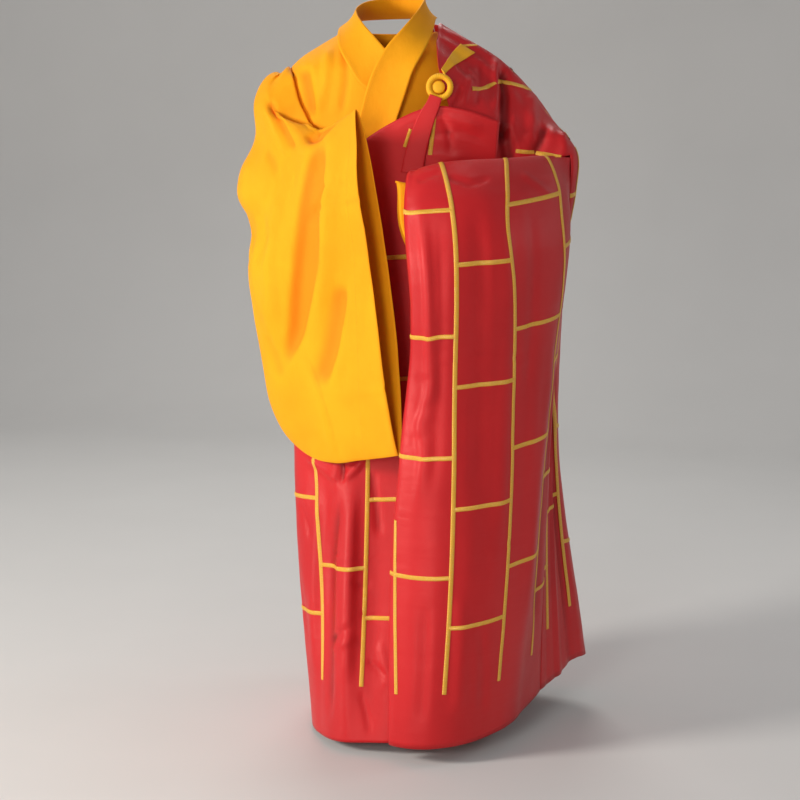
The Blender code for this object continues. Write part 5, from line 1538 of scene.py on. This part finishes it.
def braid_on(name, flat, shown, strips, ends, stretch, apart, cloth, lines, leaning=None, meeting=()):
    """The braid on one stretch of the mantle: upright lines at whole strips and cross lines between them.
    Where apart is true they give way to the lines that are laid as they are seen. Meeting is the levels at
    which the neighbour's cross lines reach the seam, and short ones carry them on to the first upright."""
    normals = grid_normals(shown)
    rows, columns = flat.shape[:2]
    steps = np.linalg.norm(np.diff(flat, axis=0), axis=2) / stretch
    rise = np.concatenate([np.zeros((1, columns)), np.cumsum(steps, axis=0)])
    ribbons = Ribbons()

    def column_at(strip):
        return float(np.interp(strip, strips, np.arange(columns)))

    def rises_at(strip):
        column = column_at(strip)
        j = min(int(column), columns - 2)
        return rise[:, j] * (1 - column + j) + rise[:, j + 1] * (column - j)

    def highest(strip):
        return min(rises_at(strip)[-1] - BRAID_CLEAR, MANTLE_HEIGHT - BORDER + BRAID_WIDTH)

    def ribbon(places):
        """A ribbon over places of (strip, height above the hem)."""
        line, out = [], []
        for strip, above in places:
            if leaning is not None:
                strip = strip + leaning(strip, above)
            row = float(np.interp(above, rises_at(strip), np.arange(rows)))
            column = column_at(strip)
            spot, normal = read_grid(shown, row, column), read_grid(normals, row, column)
            if apart is not None and apart(spot, normal):
                ribbons.lay(line, out)
                line, out = [], []
            else:
                line.append(spot)
                out.append(normal)
        ribbons.lay(line, out)

    for line in range(math.ceil(ends[0]), math.floor(ends[1]) + 1):
        top = highest(line)
        count = max(int((top - BORDER) / BRAID_STEP), 2)
        ribbon([(line, above) for above in np.linspace(BORDER, top, count)])
    for line in range(math.ceil(ends[0]) - 1, math.floor(ends[1]) + 1):
        near, far = max(line, ends[0]), min(line + 1, ends[1])
        if far - near < SHORTEST_CROSS:
            continue
        for above in block_lines(line):
            if above + BRAID_WIDTH / 2 + BRAID_CLEAR < min(highest(near), highest(far)):
                count = max(int((far - near) * STRIP_PITCH / BRAID_STEP), 2)
                ribbon([(strip, above) for strip in np.linspace(near, far, count)])
    next_line = math.ceil(ends[0])
    line_top = float(np.interp(highest(next_line), rises_at(next_line), np.arange(rows)))
    line_top = read_grid(shown, line_top, column_at(next_line))[2]
    to_upright = [column_at(strip) for strip in np.linspace(ends[0], next_line, 4)]
    for level in meeting:
        if level < line_top:
            spots = [(np.interp(level, shown[:, round(column), 2], np.arange(rows)), column)
                     for column in to_upright]
            ribbons.lay([read_grid(shown, *spot) for spot in spots],
                        [read_grid(normals, *spot) for spot in spots])
    for width, places in lines:
        ribbons.lay(*seen_line(bpy.data.objects[cloth], places), width)
    ribbons.made(name)


def seam_levels(flat, shown, strips, seam, stretch):
    """The heights at which the cross lines of a stretch reach the seam at its last strip."""
    column = float(np.interp(seam, strips, np.arange(flat.shape[1])))
    steps = np.linalg.norm(np.diff(flat[:, round(column)], axis=0), axis=1) / stretch
    rise = np.concatenate([[0], np.cumsum(steps)])
    rows = [np.interp(above, rise, np.arange(len(rise))) for above in block_lines(math.floor(seam))]
    return [read_grid(shown, row, column)[2] for row in rows]


# The clasp

CLASP_OUT = unit(CLASP_FACING)
CLASP_RIGHT = unit(np.cross(CLASP_OUT, np.array([0.0, 0.0, -1.0])))
CLASP_UP = np.cross(CLASP_RIGHT, CLASP_OUT)
STRAP_CLOTH, TAB_CLOTH = 0.0016, 0.0012
TAPE_TURNS = 34
TAPE_SWELL = 0.06
# The button's rings: how far each stands out from its centre, and its share of the hook's radius
BUTTON_RINGS = ((-0.0030, 0.70), (-0.0026, 0.86), (-0.0012, 0.98), (0.0004, 1.0), (0.0018, 0.95),
                (0.0030, 0.78), (0.0038, 0.50), (0.0041, 0.20))


def spoke(turn):
    """The way out from the clasp's middle, in the ring's own plane."""
    return math.cos(turn) * CLASP_RIGHT + math.sin(turn) * CLASP_UP


def ring_mesh(name, wire, around, sides):
    """A ring bound with tape: a torus whose surface swells and dips at each turn of the tape."""
    vertices, faces = [], []
    for i in range(around):
        turn = 2 * math.pi * i / around
        for j in range(sides):
            side = 2 * math.pi * j / sides
            grown = wire * (1 + TAPE_SWELL * math.cos(TAPE_TURNS * turn + side))
            reach = RING_RADIUS + grown * math.cos(side)
            vertices.append(RING_CENTRE + spoke(turn) * reach + CLASP_OUT * (grown * math.sin(side)))
            k, n = (j + 1) % sides, (i + 1) % around
            faces.append((i * sides + j, n * sides + j, n * sides + k, i * sides + k)[::-1])
    plain_piece(name, vertices, faces, WRAPPED)


def button_mesh(name, around):
    """The hook's round end: a domed, covered button in the ring."""
    centre = RING_CENTRE - CLASP_RIGHT * 0.0018
    vertices, faces = [], []
    for out, reach in BUTTON_RINGS:
        for k in range(around):
            away = spoke(2 * math.pi * k / around) * (HOOK_RADIUS * reach)
            vertices.append(centre + CLASP_OUT * out + away)
    for i in range(len(BUTTON_RINGS) - 1):
        for k in range(around):
            n = (k + 1) % around
            faces.append((i * around + k, i * around + n, (i + 1) * around + n, (i + 1) * around + k))
    faces.append(tuple(range(around))[::-1])
    top = (len(BUTTON_RINGS) - 1) * around
    faces.append(tuple(top + k for k in range(around)))
    plain_piece(name, vertices, faces, WRAPPED)


def strap_on(side):
    """The shoulder strap on the side part as it shows, with its first row at the ring."""
    knots = np.arange(len(SHOULDER_STRAP["row"]), dtype=float)
    where = np.linspace(0, knots[-1], 25)
    read = {name: smooth(where, knots, SHOULDER_STRAP[name]) for name in SHOULDER_STRAP}
    shares = np.linspace(-0.5, 0.5, 9)
    row_parts, column_parts = SIDE_PARTS
    line = []
    for row, column, width in zip(read["row"], read["column"], read["width"]):
        row, column = row * row_parts, column * column_parts
        along = read_grid(side, row, column - 3) - read_grid(side, row, column + 3)
        down = read_grid(side, row + 4, column) - read_grid(side, row - 4, column)
        reach = width / np.linalg.norm(down) * 8
        out = unit(np.cross(down, along))
        line.append([read_grid(side, row + share * reach, column) + out * 0.0026 for share in shares])
    line = np.array(line)
    crest = line.copy()
    for _ in range(3):
        crest[1:-1] = (crest[:-2] + crest[1:-1] * 2 + crest[2:]) / 4
    across = unit(crest[0, -1] - crest[0, 0])
    first = np.array([STRAP_END + across * (share * STRAP_END_WIDTH) for share in shares])
    middle = (first + crest[0]) / 2
    return np.concatenate([[first], [middle], crest])


def build_clasp(side_shown):
    ring_mesh("clasp_ring_bound", RING_WIRE * (1 - TAPE_SWELL), around=168, sides=18)
    button_mesh("clasp_hook_button", around=40)
    strap = refined(strap_on(side_shown), 3, 2)
    cloth_piece("clasp_strap_cloth", strap, WRAPPED, STRAP_CLOTH)
    tab = refined(tab_points(9), 6, 5)
    cloth_piece("clasp_tab_cloth", tab, SATIN, TAB_CLOTH)
    lines = []
    for grid in (strap, tab):
        last = grid.shape[1] - 1
        for share in (0.10, 0.90):
            lines.append(line_on(grid, [(i, share * last) for i in range(1, grid.shape[0] - 1)]))
    sewn("clasp_strap_stitches", lines[:2], YELLOW_THREAD, pitch=0.0036, length=0.0022)
    sewn("clasp_tab_stitches", lines[2:], RED_THREAD, pitch=0.0036, length=0.0022)


# Building everything

right_loop, left_loop = build_robe_body()
build_collar()
cuffs = [build_right_sleeve(right_loop), build_left_sleeve(left_loop)]
sewn("robe_cuff_stitches", cuffs, YELLOW_THREAD, pitch=0.0046, length=0.0028)
wrap = build_wrap()
side, side_shown, elbow_edge = build_side()
drape = build_drape(elbow_edge)

# Where the braid begins and ends on each stretch, in strips, and how it is spaced out to fill the side
WRAP_BRAID = (6.86, 14.4)
SIDE_BRAID = (3.62, 6.84)
DRAPE_BRAID = (0.1, 3.57)
SIDE_STRETCH = 1.07
braid_on("mantle_wrap_braid", *wrap, WRAP_BRAID, 1.0, on_chest, "mantle_wrap_cloth", CHEST_LINES,
         meeting=seam_levels(*side, SIDE_BRAID[1], SIDE_STRETCH))
braid_on("mantle_side_braid", *side, SIDE_BRAID, SIDE_STRETCH, on_shoulder, "mantle_side_cloth",
         SHOULDER_LINES)
braid_on("mantle_forearm_braid", *drape, DRAPE_BRAID, 1.0, None, "mantle_forearm_drape_cloth", DRAPE_LINES,
         leaning=sway)
build_clasp(side_shown)

# What each piece stands for

STANDS_FOR = {
    "robe_front_left_cloth": ("robe_front_left", "yellow_cotton"),
    "robe_front_right_cloth": ("robe_front_right", "yellow_cotton"),
    "robe_back_cloth": ("robe_back", "yellow_cotton"),
    "robe_collar_cloth": ("robe_collar", "yellow_cotton"),
    "robe_sleeve_right_cloth": ("robe_sleeve_right", "yellow_cotton"),
    "robe_sleeve_left_cloth": ("robe_sleeve_left", "yellow_cotton"),
    "mantle_wrap_cloth": ("mantle_wrap", "red_satin"),
    "mantle_side_cloth": ("mantle_side", "red_satin"),
    "mantle_forearm_drape_cloth": ("mantle_forearm_drape", "red_satin"),
    "mantle_wrap_braid": ("mantle_wrap_trim", "gold_braid"),
    "mantle_side_braid": ("mantle_side_trim", "gold_braid"),
    "mantle_forearm_braid": ("mantle_forearm_trim", "gold_braid"),
    "clasp_ring_bound": ("clasp_ring", "yellow_wrapped"),
    "clasp_hook_button": ("clasp_hook", "yellow_wrapped"),
    "clasp_strap_cloth": ("clasp_strap", "yellow_wrapped"),
    "clasp_tab_cloth": ("clasp_tab", "red_satin"),
}
for piece in PIECES:
    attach(piece, "root")
    if piece.name in STANDS_FOR:
        node, slot = STANDS_FOR[piece.name]
        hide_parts(node)

# Floor, light and camera

floor_paint = Paint("pale_floor", 0.85)
floor_grain = floor_paint.clouds(floor_paint.place(), 4.0, 2.0)
floor_paint.finish(Base_Color=floor_paint.mix(floor_grain, (0.64, 0.63, 0.61), (0.67, 0.66, 0.64)))
FLOOR_HEIGHT = float(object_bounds()[0][2]) - 0.003
SWEEP_START, SWEEP_RADIUS = 2.6, 1.2
sweep = [(SWEEP_START + SWEEP_RADIUS * math.sin(angle), FLOOR_HEIGHT + SWEEP_RADIUS * (1 - math.cos(angle)))
         for angle in np.linspace(0, math.pi / 2, 13)]
profile = [(-6.0, FLOOR_HEIGHT), *sweep, (3.8, 6.0)]
floor_mesh = bpy.data.meshes.new("floor")
floor_mesh.from_pydata([(x, y, z) for x in (-9.0, 9.0) for y, z in profile], [],
                       [(k, len(profile) + k, len(profile) + k + 1, k + 1) for k in range(len(profile) - 1)])
floor_mesh.materials.append(floor_paint.material)
floor_mesh.shade_smooth()
floor = bpy.data.objects.new("floor", floor_mesh)
bpy.context.scene.collection.objects.link(floor)


def soft_light(name, place, target, size, power, colour):
    lamp = bpy.data.lights.new(name, "AREA")
    lamp.shape, lamp.size, lamp.energy, lamp.color = "DISK", size, power, colour
    made = bpy.data.objects.new(name, lamp)
    made.location = place
    made.rotation_euler = (Vector(target) - Vector(place)).to_track_quat("-Z", "Y").to_euler()
    bpy.context.scene.collection.objects.link(made)


soft_light("key", (-2.6, -2.0, 0.5), (0, 0, -0.65), 0.9, 92, (1.0, 0.96, 0.91))
soft_light("front", (-0.3, -3.2, -0.1), (0, 0, -0.75), 1.0, 30, (1.0, 0.98, 0.96))
soft_light("side", (2.6, 0.8, 0.6), (0, 0, -0.5), 1.0, 9, (0.95, 0.97, 1.0))
soft_light("back", (-0.6, 2.2, 1.6), (0, 0, -0.5), 1.6, 34, (1.0, 0.99, 0.97))
world = bpy.data.worlds.new("studio")
world.use_nodes = True
world.node_tree.nodes["Background"].inputs["Color"].default_value = (0.86, 0.88, 0.92, 1)
world.node_tree.nodes["Background"].inputs["Strength"].default_value = 0.30
bpy.context.scene.world = world
bpy.context.scene.view_settings.view_transform = "Standard"

lens = bpy.data.cameras.new("camera")
lens.sensor_width = 36.0
lens.lens = 36.0 * FOCAL_PIXELS / FRAME_PIXELS
camera = bpy.data.objects.new("camera", lens)
camera.matrix_world = Matrix([[*(float(v[k]) for v in (TO_RIGHT, TO_TOP, TO_CAMERA)), float(EYE[k])]
                              for k in range(3)] + [[0, 0, 0, 1]])
bpy.context.scene.collection.objects.link(camera)
bpy.context.scene.camera = camera
